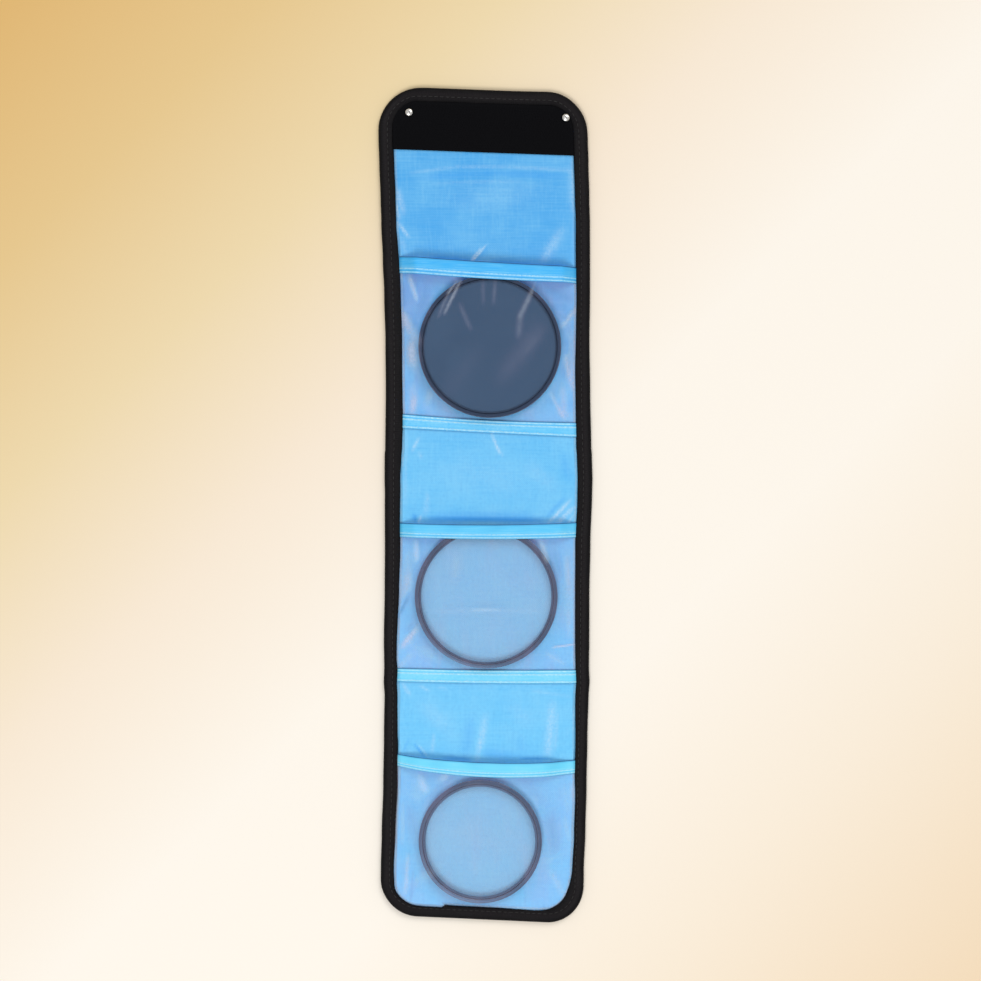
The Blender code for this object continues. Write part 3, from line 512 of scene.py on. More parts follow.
MATERIALS = {
    "lining": make_material("lining_nylon_taffeta", lining_taffeta),
    "shell": make_material("shell_pack_cloth", shell_cloth),
    "binding": make_material("binding_ribbed_tape", binding_twill),
    "tape": make_material("pocket_nylon_tape", pocket_tape),
    "film": make_material("window_soft_vinyl", window_film),
    "hook": make_material("hook_tape_nylon", hook_nylon),
    "loop": make_material("loop_tape_brushed_nylon", loop_nylon),
    "foam": make_material("padding_cell_foam", padding_foam),
    "black_thread": make_material("thread_black_polyester", thread, "#0b0a0a", "#1b1918", 0.55),
    "blue_thread": make_material("thread_blue_polyester", thread, "#7fd6ff", "#c9f1ff", 0.4),
    "rim": make_material("rim_anodised_slate", anodised_rim, "#34506a", "#566478"),
    "dark_rim": make_material("rim_anodised_black", anodised_rim, "#303f58", "#454b5e"),
    "clear": make_material("glass_clear_coated", optical_glass, "#d6e9fc", 0.10, "#e4e4fa"),
    "dark": make_material("glass_dark_polarising", optical_glass, "#3d5471", 1.0, "#475f7c"),
    "rivet": make_material("rivet_nickel_plate", rivet_nickel),
}


def only(piece):
    """Selects this piece and nothing else."""
    bpy.ops.object.select_all(action="DESELECT")
    piece.select_set(True)
    bpy.context.view_layer.objects.active = piece


def finish_piece(piece, look, angle=40.0, solid=None, body=None):
    """The piece's material, slot and shading, the solid it replaces and the body it rides on."""
    piece.data.materials.clear()
    piece.data.materials.append(MATERIALS[look])
    only(piece)
    bpy.ops.object.shade_smooth_by_angle(angle=math.radians(angle))
    if solid:
        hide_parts(solid)
    if body:
        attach(piece, body)


def object_from(bm, name):
    """A new object with the mesh that was built."""
    mesh = bpy.data.meshes.new(name)
    bm.to_mesh(mesh)
    bm.free()
    piece = bpy.data.objects.new(name, mesh)
    bpy.context.collection.objects.link(piece)
    return piece


def mesh_of(model):
    """The mesh of an object that was only made as a model for copies."""
    mesh = model.data.copy()
    bpy.data.objects.remove(model)
    return mesh


# Sheets


def levels(start, end, inset):
    """Rows of a sheet from crease to crease, closer together where they run into a corner."""
    corner_line = HALF_LENGTH - CORNER
    low = max(start, -corner_line)
    high = min(end, corner_line)
    count = max(2, math.ceil((high - low) / (1.0 * MM)))
    rows = [low + (high - low) * i / count for i in range(count + 1)]
    bend = [corner_line + (CORNER - inset) * math.sin(QUARTER * i / 16) for i in range(1, 17)]
    if end > corner_line:
        rows += [min(row, HALF_LENGTH - inset) for row in bend]
    if start < -corner_line:
        rows = [-row for row in reversed(bend)] + rows
    return rows


def make_sheet(name, columns, rows, place, thickness):
    """A grid whose points go where place says: plan x, y, height, painted light and slackness."""
    bpy.ops.mesh.primitive_grid_add(x_subdivisions=columns, y_subdivisions=rows, size=2)
    piece = bpy.context.object
    piece.name = name
    piece.data.name = name
    flat = {}
    painted_lights, slacks = [], []
    for vert in piece.data.vertices:
        i = round((vert.co.x + 1) / 2 * columns)
        j = round((vert.co.y + 1) / 2 * rows)
        x, y, z, painted_light, slack = place(2 * i / columns - 1, j)
        flat[vert.index] = (x / MM, y / MM)
        vert.co = laid(x, y, z)
        painted_lights.append(painted_light)
        slacks.append(slack)
    for kind, values in (("painted_light", painted_lights), ("slack", slacks)):
        piece.data.attributes.new(kind, "FLOAT", "POINT").data.foreach_set("value", values)
    uv = piece.data.uv_layers[0]
    for loop in piece.data.loops:
        uv.data[loop.index].uv = flat[loop.vertex_index]
    solidify = piece.modifiers.new("thickness", "SOLIDIFY")
    solidify.thickness = thickness
    solidify.offset = 0
    solidify.use_even_offset = True
    bpy.ops.object.modifier_apply(modifier=solidify.name)
    return piece


# Folds and hollows of the lining, in millimetres: from, to, half width, and how much it stands
# out with a painted highlight (above 0) or sinks with painted shade (below 0)
LINING_MARKS = (
    (-42.3, 186.0, -16.5, 189.5, 1.0, 0.18), (-16.5, 189.5, 9.3, 189.5, 1.0, 0.20),
    (9.3, 189.5, 48.0, 187.3, 1.0, 0.20), (-37.1, 183.5, 0.7, 185.8, 2.0, -0.25),
    (0.7, 185.8, 43.7, 184.3, 2.0, -0.28), (-30.0, 180.5, 20.0, 181.5, 0.9, 0.10),
    (-49.6, 176.6, -46.6, 163.7, 1.6, 0.35), (-50.7, 168.0, -48.4, 160.0, 0.7, 0.40),
    (-49.6, 158.5, -43.6, 149.9, 0.7, 0.65), (-48.0, 150.0, -45.0, 141.0, 1.4, 0.18),
    (-0.2, 145.2, -7.9, 136.4, 0.6, 0.85), (-3.1, 143.9, -8.8, 136.8, 0.5, 0.55),
    (0.9, 145.0, -5.2, 136.4, 1.0, -0.25), (-31.1, 138.4, -9.5, 136.8, 1.1, -0.55),
    (3.3, 136.4, 29.1, 134.5, 1.1, -0.55), (29.1, 134.5, 46.0, 134.0, 0.9, -0.50),
    (42.0, 153.4, 31.7, 136.0, 2.8, 0.28), (47.5, 190.0, 48.5, 165.0, 2.0, 0.18),
    (-20.0, 170.0, 30.0, 176.0, 9.0, 0.07), (-35.0, 160.0, -5.0, 152.0, 7.0, -0.07),
    (2.9, 40.0, 7.6, 28.3, 0.6, 0.60), (5.4, 33.0, 9.6, 27.0, 0.5, 0.30),
    (-38.0, 36.9, -41.4, 30.1, 0.8, 0.50), (-38.0, 29.2, -36.3, 25.8, 0.7, 0.30),
    (-45.0, 40.0, -45.6, -2.0, 0.7, 0.18), (-33.0, 6.0, -34.0, -6.0, 1.5, 0.20),
    (43.7, 26.0, 46.0, 15.0, 2.6, -0.22), (-20.0, 20.0, 20.0, 10.0, 9.0, 0.08),
    (24.0, 22.0, 38.0, 10.0, 4.0, 0.10), (-31.1, -8.2, 30.8, -8.9, 1.7, -0.80),
    (-26.0, -5.2, 26.0, -5.6, 1.6, -0.25), (-40.6, -6.1, -39.7, -9.8, 1.1, -0.60),
    (-36.7, -6.6, -38.0, -10.6, 0.7, 0.60), (47.1, 2.0, 35.1, -10.5, 1.0, 0.60),
    (48.9, -2.0, 40.3, -10.3, 1.5, 0.50), (44.0, 3.5, 33.5, -8.0, 1.2, -0.30),
    (49.5, -6.0, 46.0, -10.4, 0.7, 0.45), (37.4, -112.0, 34.4, -143.0, 2.6, 0.34),
    (40.0, -118.0, 39.0, -138.0, 0.7, 0.20), (-0.4, -119.5, -5.2, -144.0, 2.0, 0.34),
    (-8.6, -121.3, -11.5, -141.0, 3.6, -0.24), (-3.0, -140.0, 17.0, -142.2, 3.0, -0.30),
    (17.0, -131.0, 22.0, -140.0, 3.6, -0.14), (19.0, -142.9, 36.4, -142.9, 0.9, -0.50),
    (-24.0, -142.5, -9.0, -143.8, 1.2, -0.45), (-40.1, -135.0, -34.7, -141.7, 0.6, -0.70),
    (-38.4, -135.2, -33.2, -141.7, 0.5, 0.45), (-43.5, -132.0, -46.5, -139.0, 0.8, -0.25),
    (-30.4, -139.5, -29.4, -129.0, 0.9, 0.28), (-46.8, -101.1, -42.9, -106.9, 0.9, 0.40),
    (-37.1, -102.1, -32.3, -105.0, 0.7, 0.35), (-27.0, -103.0, -22.0, -104.0, 0.6, 0.25),
    (26.0, -105.0, 47.0, -108.0, 0.8, 0.18), (-36.0, -112.0, -22.0, -126.0, 5.0, 0.12),
    (14.0, -112.0, 24.0, -122.0, 5.0, 0.10),
)


def pressed(x, y, marks):
    """Sum of the folds and hollows at a point, each soft across and fading at its ends."""
    x, y = (part / MM for part in lay_out(x, y))
    total = 0.0
    for x1, y1, x2, y2, half, strength in marks:
        reach = 3.0 * half
        if not (min(x1, x2) - reach < x < max(x1, x2) + reach):
            continue
        if not (min(y1, y2) - reach < y < max(y1, y2) + reach):
            continue
        dx, dy = x2 - x1, y2 - y1
        near = clamped(((x - x1) * dx + (y - y1) * dy) / (dx * dx + dy * dy))
        gap = math.hypot(x - x1 - dx * near, y - y1 - dy * near) / half
        total += strength * math.exp(-gap * gap) * (1.0 - 0.55 * abs(2 * near - 1) ** 3)
    return total


def painted_seam_highlight(beyond_lip, middle):
    """A narrow painted highlight where a sheet turns under the binding, this far in from its lip.
    """
    return math.exp(-((beyond_lip - middle) / (0.45 * MM)) ** 2)


def open_share(y):
    """1 where nothing lies on the lining, and near 0 where a filter does."""
    share = 0.0
    for low, high in ((0.1350, 0.1975), (-0.0100, 0.0400), (-0.1440, -0.0990)):
        closed = ease(y, high - 0.003, high + 0.004)
        share = max(share, ease(y, low - 0.004, low + 0.003) * (1 - closed))
    return share


def edge_levels(node, thickness):
    """Middle heights of a cloth at its edge and over the padding, from its solid."""
    low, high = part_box(node)
    return low[2] + thickness / 2, high[2] - thickness / 2


LINING_EDGE = edge_levels("middle_panel_lining", LINING_THICK)


def lining_surface(x, y):
    """The lining's height and painted light: sunk under the binding, slack where nothing holds it.
    """
    inset = inset_of(x, y)
    lip = lip_at(x, y)
    marks = pressed(x, y, LINING_MARKS)
    free = open_share(y)
    low, high = LINING_EDGE
    # The slack cloth lies in low folds that run mostly across the case
    folds = 0.30 * swell(x, y, 22.0, 60.0, 3.1) + 0.12 * swell(x, y, 70.0, 150.0, 7.7)
    slack = ease(inset, lip + 0.2 * MM, lip + 6.0 * MM) * (0.15 + 0.85 * free)
    height = low + (high - low) * ease(inset, lip, lip + 1.5 * MM) + slack * folds * MM
    height += ease(inset, lip, lip + 1.6 * MM) * free * 0.40 * marks * MM
    # The marks and a line at the lip give the lining's painted highlight and painted shade
    return height, marks + 0.40 * painted_seam_highlight(inset - lip, 0.7 * MM), 1.0


def level_surface(node):
    """A sheet that lies flat at the middle height of its solid."""
    low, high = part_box(node)
    return lambda x, y: ((low[2] + high[2]) / 2, 0.0, 1.0)


# Each layer's solid, piece, look, slot, inset, thickness, columns, surface and what it lies on
LAYERS = (
    ("lining", "lining_cloth", "lining", "lining_cloth", SHEET_INSET, LINING_THICK, 112,
     lining_surface, "{}_foam"),
    ("shell", "shell_cloth", "shell", "pack_cloth", SHEET_INSET, SHELL_THICK, 64,
     level_surface("middle_panel_shell"), "table"),
    ("foam", "foam_pad", "foam", "padding", FOAM_INSET, FOAM_THICK, 40,
     level_surface("middle_panel_foam"), None),
)


def make_layer(section, solid, kind, look, slot, inset, thickness, columns, surface, under):
    first, last = SPANS[section]
    rows = levels(first, last, inset)

    def place(u, j):
        x = u * half_at(rows[j], inset)
        return x, rows[j], *surface(x, rows[j])

    piece = make_sheet(f"{section}_{kind}", columns, len(rows) - 1, place, thickness)
    finish_piece(piece, look, solid=f"{section}_{solid}")
    carry(piece, section)


# Binding


def outline(first, last, side):
    """Points of the case's edge, each with its outward direction, for one strip of binding."""
    points = []

    def straight(*ends, normal):
        a, b = map(Vector, ends)
        count = max(2, math.ceil((b - a).length / (1.6 * MM)))
        for i in range(count + 1):
            points.append((a + (b - a) * i / count, Vector(normal)))

    def corner(centre, from_angle):
        for i in range(1, 21):
            angle = math.radians(from_angle + 90 * i / 20)
            normal = Vector((math.cos(angle), math.sin(angle)))
            points.append((Vector(centre) + CORNER * normal, normal))

    if side:
        straight((side * HALF_WIDTH, first), (side * HALF_WIDTH, last), normal=(side, 0))
    else:
        # Round the upper end from right to left. The lower end is the same, turned half round.
        sign = 1 if last >= HALF_LENGTH else -1
        start_y = first if sign > 0 else -last
        corner_x = HALF_WIDTH - CORNER
        corner_y = HALF_LENGTH - CORNER
        straight((HALF_WIDTH, start_y), (HALF_WIDTH, corner_y), normal=(1, 0))
        corner((corner_x, corner_y), 0)
        straight((corner_x, HALF_LENGTH), (-corner_x, HALF_LENGTH), normal=(0, 1))
        corner((-corner_x, corner_y), 90)
        straight((-HALF_WIDTH, corner_y), (-HALF_WIDTH, start_y), normal=(-1, 0))
        points = [(sign * place, sign * normal) for place, normal in points]
    kept = [points[0]]
    for point in points[1:]:
        if (point[0] - kept[-1][0]).length > 0.05 * MM:
            kept.append(point)
    return kept


def binding_profile():
    """The folded tape's outline, in millimetres in from the edge and up. Outside first."""
    outer = [(8.6, 0.30), (8.3, 0.08), (7.0, 0.02), (5.7, 0.06), (5.0, 0.34), (4.3, 0.06),
             (2.8, 0.0)]
    for i in range(9):
        angle = math.radians(180 * i / 8)
        outer.append((1.9 - 1.9 * math.sin(angle), 1.9 - 1.88 * math.cos(angle)))
    outer += [(2.8, 3.86), (4.1, 3.74), (4.6, 3.58), (5.0, 3.36), (5.4, 3.54), (6.0, 3.70),
              (7.0, 3.74), (8.0, 3.64), (8.45, 3.42), (8.6, 3.22)]
    inner = [(8.4, 3.06), (6.0, 3.0), (3.4, 3.04)]
    for i in range(1, 6):
        angle = math.radians(180 * (1 - i / 6))
        inner.append((2.2 - 1.15 * math.sin(angle), 1.9 - 1.15 * math.cos(angle)))
    inner += [(3.4, 0.76), (6.0, 0.80), (8.4, 0.74)]
    return outer + inner


def make_binding_strip(section, suffix, side):
    """The profile swept along the edge, wandering a little as it was folded by hand."""
    first, last = SPANS[section]
    path = outline(first, last, side)
    profile = binding_profile()
    run = [0.0]
    for (a, _), (b, _) in zip(path, path[1:]):
        run.append(run[-1] + (b - a).length / MM)
    round_it = [0.0]
    for a, b in zip(profile, profile[1:] + profile[:1]):
        round_it.append(round_it[-1] + math.dist(a, b))
    bm = bmesh.new()
    uv = bm.loops.layers.uv.new("UVMap")
    rows = []
    for place, normal in path:
        x, y = place
        widen = lip_at(x, y) - BINDING_WIDTH + 0.30 * MM * swell(x, y, 45.0, 45.0, 1.3)
        puff = 0.16 * swell(x, y, 120.0, 120.0, 5.5)
        bend = 2 * abs(normal.x * normal.y)
        pucker = 0.22 * bend * math.sin(x / MM * 2.1 + y / MM * 1.7)
        row = []
        for inset, z in profile:
            share = ease(inset, 5.2, 8.4)
            spot = place - normal * (inset * MM + widen * share)
            # Only the side over the lining puffs up between its stitches and puckers
            lift = puff + pucker * share if z > 3.2 else 0.0
            row.append(bm.verts.new(laid(spot.x, spot.y, (z + lift) * MM)))
        rows.append(row)
    for r, (one, two) in enumerate(zip(rows, rows[1:])):
        for i in range(len(profile)):
            j = (i + 1) % len(profile)
            face = bm.faces.new((one[i], one[j], two[j], two[i]))
            spans = ((run[r], round_it[i]), (run[r], round_it[i + 1]),
                     (run[r + 1], round_it[i + 1]), (run[r + 1], round_it[i]))
            for loop, values in zip(face.loops, spans):
                loop[uv].uv = values
    bm.faces.new(rows[0])
    bm.faces.new(rows[-1][::-1])
    bmesh.ops.recalc_face_normals(bm, faces=bm.faces[:])
    piece = object_from(bm, f"{section}_binding_cloth{suffix}")
    finish_piece(piece, "binding", 50.0, f"{section}_binding{suffix}")
    carry(piece, section)
    return path


# Stitches


def model_stitch(length, radius):
    """One stitch: a short bead of thread whose ends dive into the cloth."""
    bpy.ops.mesh.primitive_uv_sphere_add(segments=8, ring_count=6, radius=1.0,
                                         rotation=(0, QUARTER, 0))
    stitch = bpy.context.object
    bpy.ops.object.transform_apply(location=False, rotation=True, scale=False)
    for vert in stitch.data.vertices:
        # Blunter than a ball, and a little flattened
        stretch = math.copysign(abs(vert.co.x) ** 0.8, vert.co.x)
        vert.co = (stretch * length / 2, vert.co.y * radius, vert.co.z * radius * 0.8)
    return mesh_of(stitch)


def copy_along(name, model, places):
    """One object with a copy of the model at each place: a point and the way it runs."""
    bm = bmesh.new()
    for point, along in places:
        across = Vector((0, 0, 1)).cross(along).normalized()
        up = along.cross(across)
        turn = Matrix((along, across, up)).transposed().to_4x4()
        placed = model.copy()
        placed.transform(Matrix.Translation(point) @ turn)
        bm.from_mesh(placed)
        bpy.data.meshes.remove(placed)
    piece = object_from(bm, name)
    uv = piece.data.uv_layers[0]
    for loop in piece.data.loops:
        corner = piece.data.vertices[loop.vertex_index].co
        uv.data[loop.index].uv = ((corner.x + corner.y) / MM, corner.z / MM)
    return piece


def along_line(points, pitch):
    """Places spaced evenly along a line of points, each with the way the line runs there."""
    places = []
    wanted = pitch / 2
    run = 0.0
    for a, b in zip(points, points[1:]):
        length = (b - a).length
        while run + length > wanted:
            along = (b - a).normalized()
            places.append((a + along * (wanted - run), along))
            wanted += pitch
        run += length
    return places


def make_binding(section, stitch):
    """A section's binding, and a row of stitches on each side of the folded tape."""
    at_end = section in (NAMES[0], NAMES[-1])
    places = []
    for suffix, side in ((("", 0),) if at_end else (("_left", -1), ("_right", 1))):
        path = make_binding_strip(section, suffix, side)
        for z in (3.46 * MM, 0.26 * MM):
            seam = [place - normal * BINDING_SEAM for place, normal in path]
            places += along_line([laid(*spot, z) for spot in seam], 3.2 * MM)
    stitches = copy_along(f"{section}_binding_stitches", stitch, places)
    finish_piece(stitches, "black_thread")
    carry(stitches, section)


# Pockets


def middle_of(node):
    """The middle of a solid's box, in the plan."""
    low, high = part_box(node)
    return (low[0] + high[0]) / 2, (low[1] + high[1]) / 2


class Pocket:
    """One pocket's filter, and the lines of its tapes at the left, middle and right, in mm."""

    def __init__(self, name, body, ring, radius, mouth, foot):
        self.name = name
        self.body = body
        self.radius = radius
        self.mouth = mouth
        self.foot = foot
        self.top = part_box(ring)[1][2]
        x, self.y = middle_of(ring)
        # The plan point that the bowed layout brings over the filter's middle
        bow = between(BOW, self.y / MM) * MM
        self.plan_x = (x - bow) * HALF_WIDTH / (between(SPREAD, self.y / MM) * MM)


POCKETS = (
    Pocket("upper", "upper_panel", "polariser_turning_ring", 40.0 * MM,
           ((139.1, 135.5, 132.9), (129.9, 126.2, 124.1)),
           ((50.6, 47.1, 45.6), (42.8, 40.2, 37.8))),
    Pocket("middle", "middle_panel", "large_clear_filter_ring", 40.0 * MM,
           ((-10.6, -11.6, -10.4), (-18.3, -19.4, -18.6)),
           ((-92.3, -93.2, -93.2), (-99.4, -100.5, -100.5))),
    Pocket("lower", "lower_panel", "small_clear_filter_ring", 34.5 * MM,
           ((-140.4, -144.7, -143.9), (-146.8, -152.7, -151.2)), None),
)


def curve_at(heights, x):
    """A smooth line through three points: at the left, in the middle and at the right."""
    t = x / (49.5 * MM)
    left, middle, right = heights
    return (middle + (right - left) / 2 * t + ((left + right) / 2 - middle) * t * t) * MM


# Pulls, hollows and scuffs of the films, as for the lining, with painted highlight and shade
FILM_MARKS = (
    (-43.1, 127.3, -38.4, 113.6, 1.2, 0.55), (-47.0, 108.4, -43.1, 98.1, 1.9, 0.38),
    (-42.3, 91.2, -42.3, 79.3, 2.2, 0.38), (-39.7, 60.2, -41.4, 52.5, 1.6, 0.45),
    (-48.5, 127.0, -46.5, 110.0, 2.0, -0.35), (-33.0, 123.0, -37.0, 106.0, 3.6, -0.28),
    (-14.3, 125.1, -23.4, 106.6, 0.8, 0.34), (-19.9, 121.2, -26.8, 104.9, 0.8, 0.13),
    (-16.0, 125.4, -21.5, 117.5, 0.5, 0.30), (-14.8, 111.8, -8.8, 98.1, 1.2, 0.09),
    (-1.9, 124.8, -1.5, 112.5, 1.0, 0.07), (5.0, 124.8, 4.2, 112.4, 1.0, 0.09),
    (28.2, 124.4, 18.8, 104.9, 1.3, 0.24), (19.4, 106.5, 17.9, 94.0, 1.7, 0.11),
    (29.1, 98.1, 9.3, 71.4, 5.0, 0.05), (22.0, 84.0, 31.0, 97.0, 2.6, 0.03),
    (30.0, 121.0, 46.3, 115.0, 4.0, -0.34), (40.0, 107.0, 45.0, 103.0, 1.5, -0.35),
    (50.6, 110.1, 42.9, 99.8, 1.4, 0.50), (44.6, 82.6, 47.1, 69.7, 1.3, 0.42),
    (47.1, 69.7, 48.9, 64.0, 1.0, 0.30), (45.5, 92.0, 44.0, 84.0, 1.8, -0.20),
    (36.4, 61.9, 43.7, 48.2, 1.1, 0.45), (40.0, 52.0, 48.0, 49.0, 2.5, 0.20),
    (-25.0, 47.0, -12.0, 44.5, 1.6, -0.20), (-4.0, 86.0, -24.0, 60.0, 5.0, 0.015),
    (-39.3, -21.0, -38.9, -31.5, 1.5, 0.48), (-42.3, -38.7, -47.5, -54.2, 2.6, 0.28),
    (-43.1, -50.8, -49.2, -62.9, 1.1, -0.45), (-39.7, -70.5, -47.5, -80.0, 1.3, 0.48),
    (-42.0, -84.0, -49.0, -92.0, 1.6, 0.25), (-41.0, -66.0, -44.0, -72.0, 1.6, -0.25),
    (-16.5, -28.0, -17.6, -42.0, 2.6, 0.13), (-7.9, -59.2, 7.6, -59.2, 0.7, 0.26),
    (-30.0, -60.0, 30.0, -59.6, 1.4, 0.07), (30.8, -21.6, 34.3, -31.8, 1.4, 0.38),
    (37.6, -24.0, 41.5, -42.0, 2.0, -0.35), (-33.5, -27.0, -40.5, -42.0, 1.6, -0.25),
    (37.2, -80.4, 49.7, -78.8, 0.45, 0.95), (45.0, -30.0, 47.5, -52.0, 1.6, 0.20),
    (46.0, -60.0, 47.0, -74.0, 1.5, 0.22), (34.0, -84.0, 44.0, -90.0, 1.4, 0.22),
    (-37.1, -153.4, -33.3, -161.1, 2.0, 0.34), (-21.7, -151.4, -25.5, -155.3, 2.2, 0.28),
    (-43.9, -196.9, -45.4, -218.1, 1.1, 0.42), (-41.0, -206.0, -42.5, -222.0, 1.0, -0.25),
    (-46.5, -168.0, -47.0, -190.0, 1.2, 0.20), (48.0, -157.2, 48.9, -166.0, 1.3, 0.35),
    (42.2, -196.9, 34.4, -199.8, 1.8, 0.18), (36.0, -174.0, 39.0, -198.0, 3.6, -0.22),
    (-43.0, -168.0, -40.0, -190.0, 3.0, -0.20), (-20.0, -155.0, -33.0, -168.0, 2.6, -0.28),
    (18.0, -153.0, 33.0, -168.0, 2.8, -0.24), (-20.0, -184.0, 16.0, -190.0, 8.0, 0.05),
    (36.0, -206.0, 44.0, -220.0, 1.6, 0.25), (44.0, -176.0, 46.5, -188.0, 1.2, 0.22),
    (-47.5, 105.8, -38.9, 91.2, 2.6, 0.34), (-42.3, 89.5, -40.6, 77.4, 3.0, 0.36),
    (-41.4, 66.0, -41.4, 51.0, 2.2, 0.34), (-31.1, 62.8, -33.7, 55.5, 2.0, 0.26),
    (47.1, 94.6, 48.0, 65.4, 3.0, 0.27), (42.8, 66.5, 43.7, 49.9, 2.2, 0.34),
    (46.3, -25.8, 46.3, -64.5, 3.4, 0.20), (-44.0, -25.8, -44.9, -47.3, 3.0, 0.20),
    (-38.9, -68.8, -47.5, -81.7, 2.4, 0.28), (-41.0, -79.0, -26.0, -88.0, 3.0, 0.14),
    (-36.0, -155.0, -40.0, -166.0, 4.0, 0.16), (44.0, -160.0, 47.0, -172.0, 3.0, 0.16),
    (-30.0, -206.0, -44.0, -214.0, 3.0, 0.12), (-49.6, 90.0, -49.6, 55.0, 0.6, 0.35),
)

# Heights of the films' middles where they are caught under the binding and sewn to the lining
FILM_EDGE = edge_levels("middle_pocket_film", 0.3 * MM)[0]
FILM_BASE = LINING_EDGE[1] + 0.62 * MM


def sewn_level(x, y):
    """Height of what is sewn flat on the lining and caught under the binding."""
    lip = lip_at(x, y)
    return FILM_EDGE + (FILM_BASE - FILM_EDGE) * ease(inset_of(x, y), lip, lip + 1.5 * MM)


def film_surface(pocket, x, y):
    """Flat where it is sewn down, and tented over the filter, open towards the mouth."""
    inset = inset_of(x, y)
    lip = lip_at(x, y)
    base = sewn_level(x, y)
    crown = pocket.top + 0.42 * MM
    # The film stays at its crown up to here from the filter's middle, and is down at the end
    room = pocket.radius + 0.5 * MM
    dx, dy = x - pocket.plan_x, y - pocket.y
    side = HALF_WIDTH - lip - 0.6 * MM - math.copysign(pocket.plan_x, dx)
    side = max(side, room + 2.0 * MM)
    if dy >= 0:
        reach = abs(dx)
        end = side
    else:
        reach = math.hypot(dx, dy)
        slope = abs(dx) / max(reach, 1e-6)
        end_down = pocket.radius + (9.0 * MM if pocket.foot else 7.0 * MM)
        end = 1 / math.sqrt((slope / side) ** 2 + (1 - slope * slope) / end_down ** 2)
    share = clamped((reach - room) / (end - room))
    # A slope between a straight one and an eased one, held down where the foot is sewn
    tent = 1 - (0.6 * share + 0.4 * share * share * (3 - 2 * share))
    if pocket.foot:
        held = clamped((y - curve_at(pocket.foot[0], x) + 0.1 * MM) / (1.1 * MM))
    else:
        held = clamped((y + HALF_LENGTH - lip - 0.5 * MM) / (1.6 * MM))
    tent = min(tent, held)
    # The film ripples where it is free: not at the binding or its foot, and little on the filter
    marks = pressed(x, y, FILM_MARKS)
    loose = ease(inset, lip, lip + 5.0 * MM) * min(1.0, 0.25 + share) * held
    ripple = max(0.14 * swell(x, y, 60.0, 26.0, 2.0) + 0.42 * marks, -0.10)
    height = base + (crown - base) * tent + loose * ripple * MM
    # Pressed on a clear glass the film is half as hazy, and on the dark one it isn't seen
    least = 0.0 if pocket.name == "upper" else 0.5
    slack = least + (1.0 - least) * ease(math.hypot(dx, dy) / pocket.radius, 0.97, 1.08)
    # The marks and a line at the lip are the film's painted highlight and painted shade
    return height, marks + 0.50 * painted_seam_highlight(inset - lip, 0.6 * MM), slack


def make_film(pocket):
    """The window, from its foot's seam, or the bottom binding, to under the mouth's tape."""
    rows = 108
    tuck = 0.7 * MM
    corner_line = HALF_LENGTH - CORNER
    corner_share = 0.24

    def place(u, j):
        # The rows lie closer together near the foot, where the film bends most
        v = (j / rows) ** 1.25
        rough_x = u * (HALF_WIDTH - SHEET_INSET)
        top = curve_at(pocket.mouth[0], rough_x) - tuck
        if pocket.foot:
            foot = curve_at(pocket.foot[1], rough_x) + tuck
            y = foot + (top - foot) * v
        elif v < corner_share:
            y = -corner_line - (CORNER - SHEET_INSET) * math.sin(QUARTER * (1 - v / corner_share))
        else:
            y = -corner_line + (top + corner_line) * (v - corner_share) / (1 - corner_share)
        x = u * half_at(y, SHEET_INSET)
        return x, y, *film_surface(pocket, x, y)

    film = make_sheet(f"{pocket.name}_window_film", 124, rows, place, FILM_THICK)
    finish_piece(film, "film", 60.0, f"{pocket.name}_pocket_film", pocket.body)


def tape_ridges(share, mouth):
    """Height and painted light across a tape, in millimetres, from its lower edge up."""
    width = 8.2
    at = share * width

    def ridges(*lines):
        return sum(strength * math.exp(-((at - c) / half) ** 2) for c, half, strength in lines)

    if mouth:
        crest = ridges((0.55, 0.45, 1.0), (2.35, 0.40, 0.9), (3.35, 0.25, 0.3))
        groove = ridges((1.45, 0.35, 0.8), (2.9, 0.25, 0.3))
    else:
        crest = ridges((width - 0.75, 0.45, 1.0), (width - 2.7, 0.40, 0.9), (0.75, 0.50, 0.8))
        groove = ridges((width - 1.75, 0.40, 0.8), (1.6, 0.35, 0.3))
    # Both edges are rolled down. Crests get a painted highlight; grooves and both edges get
    # painted shade, the upper edge most
    rolled = math.exp(-at / 0.22) + math.exp(-(width - at) / 0.22)
    shade = math.exp(-at / 0.22) + 1.6 * math.exp(-(width - at) / 0.38)
    return 0.20 * crest - 0.12 * groove - 0.18 * rolled, 0.75 * crest - 0.5 * groove - 0.9 * shade


